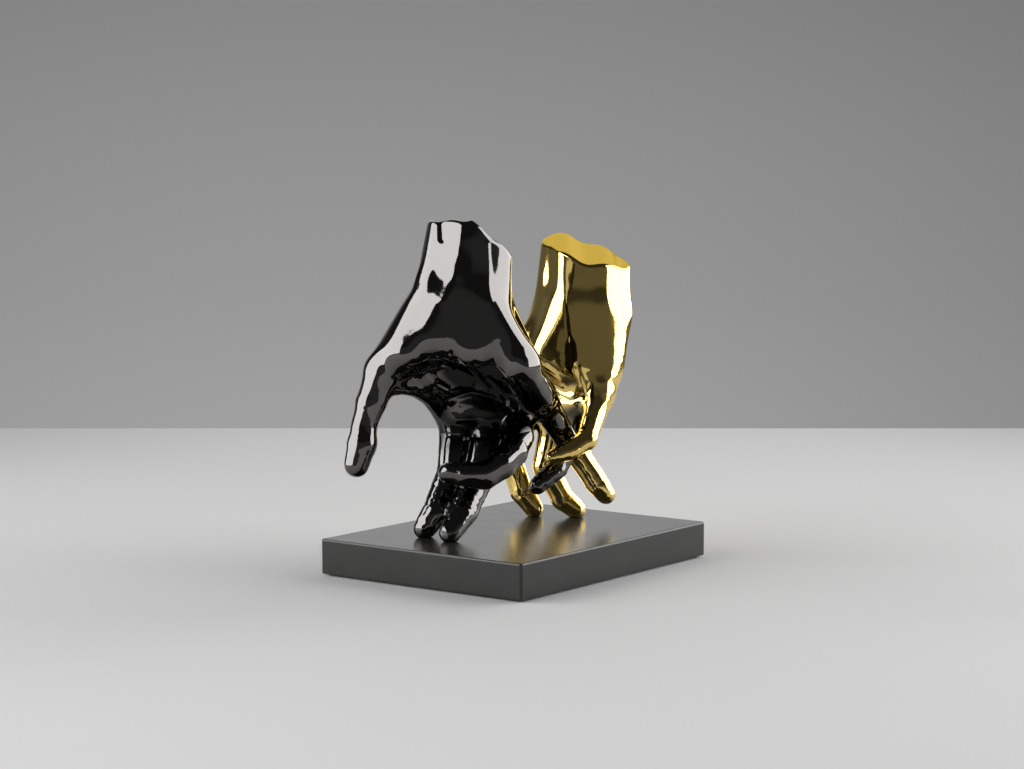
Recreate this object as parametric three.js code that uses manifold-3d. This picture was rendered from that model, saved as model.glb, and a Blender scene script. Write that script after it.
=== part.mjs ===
// Two walking hands on a plinth: a dark hand and a gold hand each stand on two fingertips,
// with their little fingers hooked together.
// Millimetres, +Z up, origin at the centre of the felt's underside, X and Y along the plinth's edges.

import * as THREE from 'three';
import { edgeTable, triTable } from 'three/addons/objects/MarchingCubes.js';
import { mergeVertices } from 'three/addons/utils/BufferGeometryUtils.js';
import Module from 'manifold-3d';

const wasm = await Module();
wasm.setup();

// Gap kept between pieces that touch
const FIT = 0.3;

// Plinth: a lacquered block with eased edges
const PLINTH_WIDTH = 200;
const PLINTH_DEPTH = 260;
const PLINTH_HEIGHT = 28.5;
const PLINTH_CORNER = 2.5;
const PLINTH_EDGE = 1.2;

// Felt sheet glued under the plinth
const FELT_THICKNESS = 1.5;
const FELT_INSET = 4;

// Stud bonded into each standing fingertip, with its washer and nut in a counterbore
const STUD_DIAMETER = 5;
const STUD_GRIP = 9;
const STUD_TAIL = 1.5;
const NUT_ACROSS_FLATS = 8;
const NUT_HEIGHT = 4;
const WASHER_DIAMETER = 15;
const WASHER_THICKNESS = 1.2;
const COUNTERBORE_MARGIN = 1;
const TAIL_RECESS = 1.5;

// Pose of the pair on the plinth, in degrees about Z
const PAIR_TURN = 36.6;

// Depth of the flat on a standing fingertip, and the least gap between the hands
const TIP_FLAT = 2;
const HAND_GAP = 0.6;

// Blend radii of the skin: along a digit, from digit to palm, between digits and inside the palm
const PHALANX_BLEND = 2.5;
const KNUCKLE_BLEND = 7;
const DIGIT_BLEND = 2;
const PALM_BLEND = 10;

// Web between neighbouring fingers: how far down their first bones it lies, and its radius
const WEB_SHARE = 0.2;
const WEB_RADIUS = 7;

// Smoothing of the palm on a lattice: its spacing, rounds of averaging, how far the smoothed skin is let out,
// and how much closer than the palm the digits may be where it starts and where it is whole
const LATTICE_PITCH = 3;
const PALM_ROUNDS = 5;
const SHARE_ROUNDS = 2;
const PALM_SWELL = 0.6;
const PALM_FROM = -2;
const PALM_TO = 10;
const LATTICE_MARGIN = 4;

// Skin mesh: cell in plan, cell heights at the fingertips and at the wrist, and smoothing rounds
const SKIN_CELL = 5.4;
const SKIN_STEP_LOW = 4.7;
const SKIN_STEP_HIGH = 10;
const SKIN_ROUNDS = 6;
const SKIN_PULL = 0.5;
const LEAST_SLOPE = 0.25;

// Flat sides of round parts: bores, studs, holes of washers and nuts, and the plinth's and felt's edges
const BORE_SIDES = 16;
const STUD_SIDES = 12;
const HOLE_SEGMENTS = 8;
const EDGE_SEGMENTS = 2;
const CORNER_SEGMENTS = 3;

// A joint of the skeleton: right and back as seen from the front, up from the plinth's top, and radius
function joint(right, back, up, radius) {
  return { at: new THREE.Vector3(right, back, up), radius };
}

// The last joint of a finger that stands on the plinth
function foot(right, back, radius) {
  return joint(right, back, radius - TIP_FLAT, radius);
}

// Digits run from the knuckle to the tip, palm bones from the wrist outwards
const DARK_HAND = {
  thumb: [
    joint(-107, -36, 135, 14.5),
    joint(-117, -39, 109, 12.2),
    joint(-122.5, -42, 91, 10.2),
    joint(-124, -44, 76.5, 11.8),
    joint(-128.5, -47, 60, 10.2),
  ],
  index: [
    joint(-48.5, 2, 96.5, 14),
    joint(-53, -15, 49.5, 12),
    joint(-64, -33, 21.5, 11.6),
    foot(-74.5, -38, 9.2),
  ],
  middle: [
    joint(-24, 8, 91.5, 13.5),
    joint(-29.3, -22, 49.5, 12.4),
    joint(-43.5, -45, 22, 11.8),
    foot(-53.5, -59, 9.2),
  ],
  ring: [
    joint(0, 10, 97, 13),
    joint(1, -21, 79, 12.4),
    joint(-3.5, -37, 68.5, 11.8),
    joint(-13, -50, 60, 11.2),
    joint(-26, -58.5, 53, 11),
    joint(-40, -59.3, 53, 10.2),
    joint(-55, -57.5, 55, 8.6),
  ],
  little: [
    joint(19.5, 8, 109, 12),
    joint(44, 30, 65.5, 9.2),
    joint(32, 18, 47, 8.6),
    joint(16.5, 9, 35, 7.4),
  ],
  standing: ['index', 'middle'],
  carpals: {
    index: joint(-57, -14, 203, 17),
    middle: joint(-44.5, -10, 198.5, 18),
    ring: joint(-33, -10, 197, 18),
    little: joint(-23.5, -13, 194.5, 16),
  },
  forearm: [
    [joint(-53, -18, 264, 16.5), joint(-62, -22, 197, 20.5)],
    [joint(-35, -25, 262, 18), joint(-40, -30, 198.5, 22)],
    [joint(-18, -19, 250, 15.5), joint(-22.5, -25, 190.5, 17)],
  ],
  palm: {
    thumbRoot: [joint(-74, -28, 180, 20), joint(-107, -36, 135, 14.5)],
    thumbPad: [joint(-64, -36, 183, 17), joint(-89, -47, 150.5, 15)],
    littlePad: [joint(-25, -36, 185, 16), joint(2, -38, 141, 14.5)],
    littleEdge: [joint(2, -38, 141, 14.5), joint(19, -7, 112, 12.5)],
    heel: [joint(-39.5, -35, 193, 18), joint(-36, -40, 154, 17.5)],
    palmCentre: [joint(-51, -34, 190, 16), joint(-62, -43, 157, 15)],
    wristKnob: [joint(-55, -39, 180, 11.5), joint(-57, -41, 170, 11.5)],
    webEdge: [joint(-95, -30, 122.5, 9), joint(-77, -18, 121, 9)],
    web: [joint(-77, -18, 121, 9), joint(-58, -4, 97, 11)],
    webRoot: [joint(-82, -30, 150.5, 13), joint(-57.5, -14, 121, 13)],
    indexMound: [joint(-48, -6, 98, 10), joint(-22, -2, 94.5, 10)],
    middleMound: [joint(-22, -2, 94.5, 10), joint(0, 0, 100.5, 10)],
    ringMound: [joint(0, 0, 100.5, 10), joint(15.5, 0, 113, 9)],
  },
  cut: { top: 255, shoulder: -36, drop: 0.84, lean: -0.06, hinge: -40, wave: 0.8, pitch: 20.4, dip: -62.5 },
};

const GOLD_HAND = {
  thumb: [
    joint(0, 76, 127, 13),
    joint(-21, 72, 93, 10.2),
    joint(-31.5, 66, 70, 9),
  ],
  index: [
    joint(11, 78, 96.5, 11.5),
    joint(-6, 78, 49.5, 10),
    joint(4, 76, 20.5, 9.6),
    foot(14.5, 75, 8.6),
  ],
  middle: [
    joint(33, 70, 90.5, 12),
    joint(23.5, 70, 43.5, 10.4),
    joint(39, 70, 15.5, 9.8),
    foot(50, 69, 8.8),
  ],
  ring: [
    joint(53.5, 57, 94.5, 11.5),
    joint(51, 48, 56, 10),
    joint(67, 46, 32.5, 9.6),
    joint(74.5, 46, 22.5, 8.4),
  ],
  little: [
    joint(70.5, 42, 109.5, 10.5),
    joint(57.5, 14, 72.5, 8.6),
    joint(43.5, 6, 65, 8),
    joint(30, 3, 60, 7),
  ],
  standing: ['index', 'middle'],
  carpals: {
    index: joint(41, 70, 185, 15),
    middle: joint(51, 66, 183.5, 16),
    ring: joint(61, 60, 181.5, 16),
    little: joint(72, 56, 180.5, 15),
  },
  forearm: [
    [joint(41, 75, 250, 18.5), joint(36.5, 80, 185, 21.5)],
    [joint(42, 52, 250, 10), joint(42, 54, 185, 10.5)],
    [joint(58, 50, 248, 18), joint(56, 58, 181, 20.5)],
    [joint(79, 63, 240, 16), joint(77.5, 64, 177, 17.5)],
    [joint(60, 73, 246, 17.5), joint(57, 75, 181, 18)],
  ],
  palm: {
    thumbRoot: [joint(31, 82, 166, 20.5), joint(0, 76, 127, 13.5)],
    thumbPad: [joint(39, 58, 176, 13.5), joint(23, 56, 140, 12.5)],
    palmCentre: [joint(46, 57, 178, 18), joint(41, 51, 131, 15)],
    littlePad: [joint(77, 58, 172, 18.5), joint(74, 48.5, 127, 15)],
    heel: [joint(56, 54, 180, 20), joint(55, 45, 131, 16)],
    web: [joint(6, 72, 123.5, 9), joint(12.5, 76, 101, 11)],
    indexMound: [joint(12.5, 68, 101.5, 9), joint(33, 62, 96.5, 9)],
    middleMound: [joint(33, 62, 96.5, 9), joint(52.5, 48, 100.5, 9)],
    ringMound: [joint(52.5, 48, 100.5, 9), joint(67, 36, 113.5, 9)],
  },
  cut: { top: 231.5, shoulder: 30, drop: 0.25, lean: 0.28, hinge: 60, wave: 1.8, pitch: 33, dip: 57 },
};

const FINGERS = ['index', 'middle', 'ring', 'little'];
const DIGITS = ['thumb', ...FINGERS];

// Signed distance from a point to a tapered bone with round ends
function boneDistance([from, to]) {
  const axis = to.at.clone().sub(from.at);
  const lengthSquared = axis.lengthSq();
  const taper = from.radius - to.radius;
  const slant = lengthSquared - taper * taper;
  const offset = new THREE.Vector3();
  return (point) => {
    offset.subVectors(point, from.at);
    const along = offset.dot(axis);
    const past = along - lengthSquared;
    const radial = offset.multiplyScalar(lengthSquared).addScaledVector(axis, -along).lengthSq();
    const bias = Math.sign(taper) * taper * taper * radial;
    const alongSquared = along * along * lengthSquared;
    const pastSquared = past * past * lengthSquared;
    if (Math.sign(past) * slant * pastSquared > bias) {
      return Math.sqrt(radial + pastSquared) / lengthSquared - to.radius;
    }
    if (Math.sign(along) * slant * alongSquared < bias) {
      return Math.sqrt(radial + alongSquared) / lengthSquared - from.radius;
    }
    return (Math.sqrt((radial * slant) / lengthSquared) + along * taper) / lengthSquared - from.radius;
  };
}

// Union of two distances with a fillet of about the blend radius
function blend(a, b, radius) {
  const share = THREE.MathUtils.clamp(0.5 + (0.5 * (b - a)) / radius, 0, 1);
  return b + (a - b) * share - radius * share * (1 - share);
}

// Blended union of bones as one distance
function blendedBones(bones, radius) {
  const distances = bones.map(boneDistance);
  return (point) => {
    const reached = distances.map((distance) => distance(point));
    return reached.reduce((sum, next) => blend(sum, next, radius));
  };
}

// Consecutive joints of a digit as bones
function phalanges(joints) {
  return joints.slice(1).map((next, i) => [joints[i], next]);
}

// Webs that tie the first bones of neighbouring fingers
function fingerWebs(hand) {
  const ends = FINGERS.map((name) => {
    const [knuckle, next] = hand[name];
    return { at: knuckle.at.clone().lerp(next.at, WEB_SHARE), radius: WEB_RADIUS };
  });
  return phalanges(ends);
}

// Box around the joints of a hand, with their radii
function handBounds(hand, margin) {
  const box = new THREE.Box3();
  const bones = [...DIGITS.map((name) => hand[name]), ...hand.forearm, ...Object.values(hand.palm)];
  for (const { at, radius } of bones.flat()) {
    box.union(new THREE.Box3().setFromCenterAndSize(at, new THREE.Vector3().setScalar(2 * radius)));
  }
  return box.expandByScalar(margin);
}

// Values of a lattice averaged with their neighbours, as 1, 2 and 1 parts along each axis
function averaged(values, counts, rounds) {
  const strides = [1, counts[0], counts[0] * counts[1]];
  let level = values;
  for (let round = 0; round < rounds; round++) {
    strides.forEach((stride, axis) => {
      const before = level;
      level = before.map((value, node) => {
        const line = Math.floor(node / stride) % counts[axis];
        const lower = line > 0 ? before[node - stride] : value;
        const upper = line < counts[axis] - 1 ? before[node + stride] : value;
        return value / 2 + (lower + upper) / 4;
      });
    });
  }
  return level;
}

// Weights of the four lattice lines round a place between two of them, by the cubic B-spline
function splineWeights(share) {
  const rest = 1 - share;
  return [
    rest ** 3 / 6,
    (3 * share ** 3 - 6 * share ** 2 + 4) / 6,
    (3 * rest ** 3 - 6 * rest ** 2 + 4) / 6,
    share ** 3 / 6,
  ];
}

// Distance read back from a lattice: the weighted sum of the 64 nodes round a point
function latticeDistance(values, low, [nx, ny, nz]) {
  return (point) => {
    const spots = point.clone().sub(low).divideScalar(LATTICE_PITCH).toArray();
    const [i, j, k] = spots.map((spot, axis) => (
      THREE.MathUtils.clamp(Math.floor(spot), 1, [nx, ny, nz][axis] - 3)
    ));
    const across = splineWeights(THREE.MathUtils.clamp(spots[0] - i, 0, 1));
    const deep = splineWeights(THREE.MathUtils.clamp(spots[1] - j, 0, 1));
    const high = splineWeights(THREE.MathUtils.clamp(spots[2] - k, 0, 1));
    let total = 0;
    for (let c = 0; c < 4; c++) {
      for (let b = 0; b < 4; b++) {
        const row = i - 1 + nx * (j - 1 + b + ny * (k - 1 + c));
        for (let a = 0; a < 4; a++) total += high[c] * deep[b] * across[a] * values[row + a];
      }
    }
    return total;
  };
}

// Skin of a hand before its cuts: the digits filleted into the palm, which is smoothed more than they are
function handSkin(hand) {
  const metacarpals = Object.entries(hand.carpals).map(([name, carpal]) => [carpal, hand[name][0]]);
  const pads = Object.values(hand.palm);
  const palmDistance = blendedBones([...hand.forearm, ...metacarpals, ...pads, ...fingerWebs(hand)], PALM_BLEND);
  const digitDistances = DIGITS.map((name) => blendedBones(phalanges(hand[name]), PHALANX_BLEND));
  const box = handBounds(hand, LATTICE_MARGIN * LATTICE_PITCH);
  const counts = box.getSize(new THREE.Vector3()).toArray().map((size) => Math.ceil(size / LATTICE_PITCH) + 1);
  const [nx, ny, nz] = counts;
  const sharp = new Float64Array(nx * ny * nz);
  const share = new Float64Array(sharp.length);
  const point = new THREE.Vector3();
  for (let node = 0; node < sharp.length; node++) {
    point.set(node % nx, Math.floor(node / nx) % ny, Math.floor(node / (nx * ny)));
    point.multiplyScalar(LATTICE_PITCH).add(box.min);
    const palm = palmDistance(point);
    const reached = digitDistances.map((digit) => digit(point));
    const fan = reached.reduce((sum, next) => blend(sum, next, DIGIT_BLEND));
    sharp[node] = blend(palm, fan, KNUCKLE_BLEND);
    share[node] = THREE.MathUtils.smoothstep(fan - palm, PALM_FROM, PALM_TO);
  }
  const soft = averaged(sharp, counts, PALM_ROUNDS);
  const smoothShare = averaged(share, counts, SHARE_ROUNDS);
  const skin = sharp.map((value, node) => value + smoothShare[node] * (soft[node] - PALM_SWELL - value));
  return latticeDistance(skin, box.min, counts);
}

// Evenly spaced grid lines, or lines whose spacing grows from the first step to the last
function gridLines(from, to, firstStep, lastStep) {
  const lines = [from];
  while (lines.at(-1) < to) {
    const share = (lines.at(-1) - from) / (to - from);
    lines.push(lines.at(-1) + THREE.MathUtils.lerp(firstStep, lastStep, share));
  }
  return lines;
}

// Corners of a cell, and its edges as a corner and an axis, in the order of the marching cubes tables
const CELL_CORNERS = [[0, 0, 0], [1, 0, 0], [1, 1, 0], [0, 1, 0], [0, 0, 1], [1, 0, 1], [1, 1, 1], [0, 1, 1]];
const CELL_EDGES = [
  [0, 0], [1, 1], [3, 0], [0, 1], [4, 0], [5, 1], [7, 0], [4, 1], [0, 2], [1, 2], [2, 2], [3, 2],
];
const EDGE_MARGIN = 0.12;

// Closed triangle mesh of the zero surface of a distance, by marching cubes with shared vertices
function polygonise(distance, box) {
  const lines = [
    gridLines(box.min.x, box.max.x, SKIN_CELL, SKIN_CELL),
    gridLines(box.min.y, box.max.y, SKIN_CELL, SKIN_CELL),
    gridLines(box.min.z, box.max.z, SKIN_STEP_LOW, SKIN_STEP_HIGH),
  ];
  const [nx, ny, nz] = lines.map((line) => line.length);
  const nodeAt = (i, j, k) => i + nx * (j + ny * k);
  const stride = [1, nx, nx * ny];
  const place = (node) => new THREE.Vector3(
    lines[0][node % nx],
    lines[1][Math.floor(node / nx) % ny],
    lines[2][Math.floor(node / (nx * ny))],
  );
  const values = Float64Array.from({ length: nx * ny * nz }, (_, node) => distance(place(node)));
  const vertices = [];
  const onEdge = new Map();
  const vertexOn = (node, axis) => {
    const key = 3 * node + axis;
    if (!onEdge.has(key)) {
      const next = node + stride[axis];
      const share = values[node] / (values[node] - values[next]);
      const inside = THREE.MathUtils.clamp(share, EDGE_MARGIN, 1 - EDGE_MARGIN);
      onEdge.set(key, vertices.push(place(node).lerp(place(next), inside)) - 1);
    }
    return onEdge.get(key);
  };
  const triangles = [];
  for (let k = 0; k < nz - 1; k++) {
    for (let j = 0; j < ny - 1; j++) {
      for (let i = 0; i < nx - 1; i++) {
        const corners = CELL_CORNERS.map(([a, b, c]) => nodeAt(i + a, j + b, k + c));
        const code = corners.reduce((bits, node, n) => bits | ((values[node] > 0) << n), 0);
        if (edgeTable[code] === 0) continue;
        for (let t = 16 * code; triTable[t] !== -1; t++) {
          const [corner, axis] = CELL_EDGES[triTable[t]];
          triangles.push(vertexOn(corners[corner], axis));
        }
      }
    }
  }
  return { vertices, triangles };
}

// Gradient of a distance by central differences
const GRADIENT_STEP = 0.05;
function gradient(distance, point) {
  const probe = new THREE.Vector3();
  const slope = new THREE.Vector3();
  for (const axis of ['x', 'y', 'z']) {
    probe.copy(point)[axis] += GRADIENT_STEP;
    const ahead = distance(probe);
    probe[axis] -= 2 * GRADIENT_STEP;
    slope[axis] = (ahead - distance(probe)) / (2 * GRADIENT_STEP);
  }
  return slope;
}

// Even out the triangles and keep the vertices on the zero surface
function relax({ vertices, triangles }, distance) {
  const neighbours = vertices.map(() => new Set());
  for (let t = 0; t < triangles.length; t += 3) {
    const corners = triangles.slice(t, t + 3);
    for (const a of corners) corners.forEach((b) => a !== b && neighbours[a].add(b));
  }
  for (let round = 0; round < SKIN_ROUNDS; round++) {
    const centres = neighbours.map((around) => {
      const centre = new THREE.Vector3();
      around.forEach((other) => centre.add(vertices[other]));
      return centre.divideScalar(around.size);
    });
    vertices.forEach((vertex, i) => {
      vertex.lerp(centres[i], SKIN_PULL);
      const slope = gradient(distance, vertex);
      const step = THREE.MathUtils.clamp(distance(vertex), -SKIN_CELL / 2, SKIN_CELL / 2);
      vertex.addScaledVector(slope, -step / Math.max(slope.lengthSq(), LEAST_SLOPE));
    });
  }
}

// Manifold solid from a closed geometry, and a geometry back from a solid
function solid(geometry) {
  const bare = geometry.clone();
  bare.deleteAttribute('normal');
  bare.deleteAttribute('uv');
  const merged = mergeVertices(bare);
  return new wasm.Manifold(new wasm.Mesh({
    numProp: 3,
    vertProperties: new Float32Array(merged.attributes.position.array),
    triVerts: new Uint32Array(merged.index.array),
  }));
}

function geometryOf(manifold) {
  const { vertProperties, triVerts } = manifold.getMesh();
  const geometry = new THREE.BufferGeometry();
  geometry.setAttribute('position', new THREE.BufferAttribute(new Float32Array(vertProperties), 3));
  geometry.setIndex(new THREE.BufferAttribute(new Uint32Array(triVerts), 1));
  geometry.computeVertexNormals();
  return geometry;
}

// Upright cylinder between two heights
function pin(x, y, bottom, top, diameter, sides) {
  const geometry = new THREE.CylinderGeometry(diameter / 2, diameter / 2, top - bottom, sides);
  return geometry.rotateX(Math.PI / 2).translate(x, y, (top + bottom) / 2);
}

// Cutter above the wrist: a waved profile seen from the front, sheared so that the cut leans back
const CUT_STEP = 2;
function wristCutter({ top, shoulder, drop, lean, hinge, wave, pitch, dip }, box) {
  const height = (x) => {
    const ripple = wave * Math.cos((2 * Math.PI * (x - dip)) / pitch);
    return top - drop * Math.max(0, x - shoulder) - ripple;
  };
  const profile = new THREE.Shape();
  profile.moveTo(box.min.x, box.max.z + SKIN_CELL);
  for (const x of gridLines(box.min.x, box.max.x, CUT_STEP, CUT_STEP)) profile.lineTo(x, height(x));
  profile.lineTo(box.max.x + CUT_STEP, box.max.z + SKIN_CELL);
  const depth = box.max.y - box.min.y;
  const cutter = new THREE.ExtrudeGeometry(profile, { depth, bevelEnabled: false });
  cutter.rotateX(Math.PI / 2).translate(0, box.max.y - hinge, 0);
  cutter.applyMatrix4(new THREE.Matrix4().makeShear(0, 0, 0, lean, 0, 0));
  return solid(cutter.translate(0, hinge, 0));
}

// Block below the plane that a hand stands on
function groundBlock(box) {
  const size = box.getSize(new THREE.Vector3());
  const block = new THREE.BoxGeometry(2 * size.x, 2 * size.y, size.z);
  const centre = box.getCenter(new THREE.Vector3());
  return solid(block.translate(centre.x, centre.y, FIT - size.z / 2));
}

const boreDiameter = STUD_DIAMETER + 2 * FIT;

// Feet of a hand: the last joints of its standing fingers
function feetOf(hand) {
  return hand.standing.map((name) => ({ name, at: hand[name].at(-1).at }));
}

// Hand with its wrist cut, flat fingertips and stud bores
function handGeometry(hand, distance) {
  const box = handBounds(hand, SKIN_CELL);
  const mesh = polygonise(distance, box);
  relax(mesh, distance);
  const skin = new THREE.BufferGeometry().setFromPoints(mesh.vertices);
  skin.setIndex(mesh.triangles);
  let body = solid(skin).subtract(wristCutter(hand.cut, box)).subtract(groundBlock(box));
  for (const { at } of feetOf(hand)) {
    body = body.subtract(solid(pin(at.x, at.y, -STUD_GRIP, STUD_GRIP + FIT, boreDiameter, BORE_SIDES)));
  }
  return geometryOf(body);
}

// Heights under the plinth's top: counterbore floor, washer, nut and the end of the stud
const counterboreDepth = WASHER_THICKNESS + NUT_HEIGHT + STUD_TAIL + TAIL_RECESS + 2 * FIT;
const counterboreDiameter = WASHER_DIAMETER + 2 * COUNTERBORE_MARGIN;
const floorHeight = counterboreDepth - PLINTH_HEIGHT;
const washerBottom = floorHeight - FIT - WASHER_THICKNESS;
const nutBottom = washerBottom - FIT - NUT_HEIGHT;
const studBottom = nutBottom - STUD_TAIL;

// Rectangle with round corners, centred on the origin
function roundedRectangle(width, depth, radius) {
  const x = width / 2;
  const y = depth / 2;
  const shape = new THREE.Shape();
  shape.absarc(x - radius, y - radius, radius, 0, Math.PI / 2);
  shape.absarc(radius - x, y - radius, radius, Math.PI / 2, Math.PI);
  shape.absarc(radius - x, radius - y, radius, Math.PI, 1.5 * Math.PI);
  shape.absarc(x - radius, radius - y, radius, 1.5 * Math.PI, 2 * Math.PI);
  return shape;
}

// Plinth block, from its underside up, with a bore and a counterbore under each foot
function plinthGeometry(feet) {
  const outline = roundedRectangle(
    PLINTH_WIDTH - 2 * PLINTH_EDGE,
    PLINTH_DEPTH - 2 * PLINTH_EDGE,
    Math.max(PLINTH_CORNER - PLINTH_EDGE, FIT),
  );
  const block = new THREE.ExtrudeGeometry(outline, {
    depth: PLINTH_HEIGHT - 2 * PLINTH_EDGE,
    bevelThickness: PLINTH_EDGE,
    bevelSize: PLINTH_EDGE,
    bevelSegments: EDGE_SEGMENTS,
    curveSegments: CORNER_SEGMENTS,
  });
  let body = solid(block.translate(0, 0, PLINTH_EDGE));
  for (const { x, y } of feet) {
    const bore = pin(x, y, -FIT, PLINTH_HEIGHT + FIT, boreDiameter, BORE_SIDES);
    const counterbore = pin(x, y, -FIT, counterboreDepth, counterboreDiameter, 2 * BORE_SIDES);
    body = body.subtract(solid(bore)).subtract(solid(counterbore));
  }
  return geometryOf(body);
}

function feltGeometry() {
  const outline = roundedRectangle(
    PLINTH_WIDTH - 2 * FELT_INSET,
    PLINTH_DEPTH - 2 * FELT_INSET,
    PLINTH_CORNER,
  );
  return new THREE.ExtrudeGeometry(outline, {
    depth: FELT_THICKNESS,
    bevelEnabled: false,
    curveSegments: CORNER_SEGMENTS,
  });
}

// Flat ring or hexagon with a hole for the stud
function drilledPlate(outline, height) {
  outline.holes.push(new THREE.Path().absarc(0, 0, boreDiameter / 2, 0, 2 * Math.PI));
  return new THREE.ExtrudeGeometry(outline, {
    depth: height,
    bevelEnabled: false,
    curveSegments: HOLE_SEGMENTS,
  });
}

function washerGeometry() {
  return drilledPlate(new THREE.Shape().absarc(0, 0, WASHER_DIAMETER / 2, 0, 2 * Math.PI), WASHER_THICKNESS);
}

function nutGeometry() {
  const reach = NUT_ACROSS_FLATS / Math.sqrt(3);
  const corners = Array.from({ length: 6 }, (_, i) => {
    const angle = (i * Math.PI) / 3;
    return new THREE.Vector2(reach * Math.cos(angle), reach * Math.sin(angle));
  });
  return drilledPlate(new THREE.Shape(corners), NUT_HEIGHT);
}

function material(color, roughness, metalness) {
  return new THREE.MeshStandardMaterial({ color, roughness, metalness });
}

function piece(name, geometry, finish) {
  const mesh = new THREE.Mesh(geometry, finish);
  mesh.name = name;
  return mesh;
}

// The hands: the gold one is kept clear of the dark one where their fingers hook
const darkSkin = handSkin(DARK_HAND);
const goldSkin = handSkin(GOLD_HAND);
const clearGoldSkin = (point) => Math.max(goldSkin(point), HAND_GAP - darkSkin(point));

const pair = new THREE.Group();
pair.position.z = FELT_THICKNESS + PLINTH_HEIGHT;
pair.rotation.z = THREE.MathUtils.degToRad(PAIR_TURN);
pair.add(piece('dark_hand', handGeometry(DARK_HAND, darkSkin), material(0x1a1a1c, 0.08, 1)));
pair.add(piece('gold_hand', handGeometry(GOLD_HAND, clearGoldSkin), material(0xd9a93a, 0.1, 1)));

// Fasteners under every standing fingertip
const steel = material(0xb9bcc0, 0.35, 1);
const feet = [];
for (const [owner, hand] of Object.entries({ dark: DARK_HAND, gold: GOLD_HAND })) {
  for (const { name, at } of feetOf(hand)) {
    const shank = pin(0, 0, studBottom, STUD_GRIP, STUD_DIAMETER, STUD_SIDES);
    const stud = piece(`stud_${owner}_${name}`, shank, steel.clone());
    const washer = piece(`washer_${owner}_${name}`, washerGeometry(), steel.clone());
    const nut = piece(`nut_${owner}_${name}`, nutGeometry(), steel.clone());
    stud.position.set(at.x, at.y, 0);
    washer.position.set(at.x, at.y, washerBottom);
    nut.position.set(at.x, at.y, nutBottom);
    pair.add(stud, washer, nut);
    feet.push(new THREE.Vector2(at.x, at.y).rotateAround(new THREE.Vector2(), pair.rotation.z));
  }
}

const plinth = piece('plinth', plinthGeometry(feet), material(0x1d1d1e, 0.42, 0));
plinth.position.z = FELT_THICKNESS;

const figurine = new THREE.Group();
figurine.add(plinth, piece('felt', feltGeometry(), material(0x232323, 1, 0)), pair);

export default figurine;
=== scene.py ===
"""Looks of the walking hands figurine: a dark and a gold mirror-plated hand on a satin black plinth.

Everything is in metres, +Z up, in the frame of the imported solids. The skins of the hands are worked out in
millimetres in the pair's own frame (right, back and up from the plinth's top, as seen from the front), and
are turned and raised to their place when their meshes are made.
"""

from __future__ import annotations

import logging
import math
from dataclasses import dataclass, field
from enum import Enum
from functools import reduce
from typing import Callable, Union

import bpy
import numpy as np
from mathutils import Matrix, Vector


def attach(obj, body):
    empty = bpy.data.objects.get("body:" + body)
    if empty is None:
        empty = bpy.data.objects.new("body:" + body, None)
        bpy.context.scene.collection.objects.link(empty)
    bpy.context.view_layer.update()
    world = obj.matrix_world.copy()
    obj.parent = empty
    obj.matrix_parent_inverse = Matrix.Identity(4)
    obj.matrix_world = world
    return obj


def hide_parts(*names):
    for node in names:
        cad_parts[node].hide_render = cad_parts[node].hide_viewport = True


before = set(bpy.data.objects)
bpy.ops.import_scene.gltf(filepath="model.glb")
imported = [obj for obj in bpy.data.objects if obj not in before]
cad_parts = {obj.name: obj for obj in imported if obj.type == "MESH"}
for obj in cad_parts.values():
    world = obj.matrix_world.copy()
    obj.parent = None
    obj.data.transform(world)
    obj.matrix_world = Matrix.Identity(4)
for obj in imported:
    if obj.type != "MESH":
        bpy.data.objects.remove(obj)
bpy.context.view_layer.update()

LOG = logging.getLogger("figurine")
MM = 0.001
BODY = "root"

# Place of the pair: turn about Z in degrees, and height of the plinth's top in millimetres
PAIR_TURN = 36.6
PLINTH_TOP = 30.0

# How far from a bone its distance is worked out, which is also the distance given beyond that
REACH = 40.0

# Least length that a vector is divided by
LEAST_LENGTH = 1e-9

# Skew directions of the skin's waves, and how far each wave bends the one before it in radians
WAVE_WAYS = np.array([[0.80, 0.50, 0.33], [-0.45, 0.35, 0.82], [0.40, -0.79, 0.46]])
WAVE_BEND = 1.7

Field = Callable[[np.ndarray], np.ndarray]
Colour = tuple[float, float, float]
Row = tuple[float, ...]


class Digit(Enum):
    """The digits of a hand, in the order in which their skins are blended."""

    THUMB = "thumb"
    INDEX = "index"
    MIDDLE = "middle"
    RING = "ring"
    LITTLE = "little"


class Side(Enum):
    """The side of a hand that a fold or ridge lies on, as the sign of its skin's back component."""

    PALM = -1.0
    BACK = 1.0


FINGERS = (Digit.INDEX, Digit.MIDDLE, Digit.RING, Digit.LITTLE)


def place(points: np.ndarray) -> np.ndarray:
    """Turn and raise points from the pair's frame in millimetres to the figurine's frame in metres.

    Args:
        points: Array of right, back and up, one row a point.

    Returns:
        Array of the same shape in metres.
    """
    turn = math.radians(PAIR_TURN)
    across, along = math.cos(turn), math.sin(turn)
    x = across * points[:, 0] - along * points[:, 1]
    y = along * points[:, 0] + across * points[:, 1]
    return MM * np.stack([x, y, points[:, 2] + PLINTH_TOP], axis=1)


def smooth_step(values: np.ndarray, low: float, high: float) -> np.ndarray:
    """Rise from 0 at low to 1 at high along the cubic 3t^2 - 2t^3."""
    t = np.clip((values - low) / (high - low), 0.0, 1.0)
    return t * t * (3.0 - 2.0 * t)


def bell(values: np.ndarray, width: float) -> np.ndarray:
    """Gaussian bell of height 1 with the given half width."""
    return np.exp(-np.square(values / width))


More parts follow.
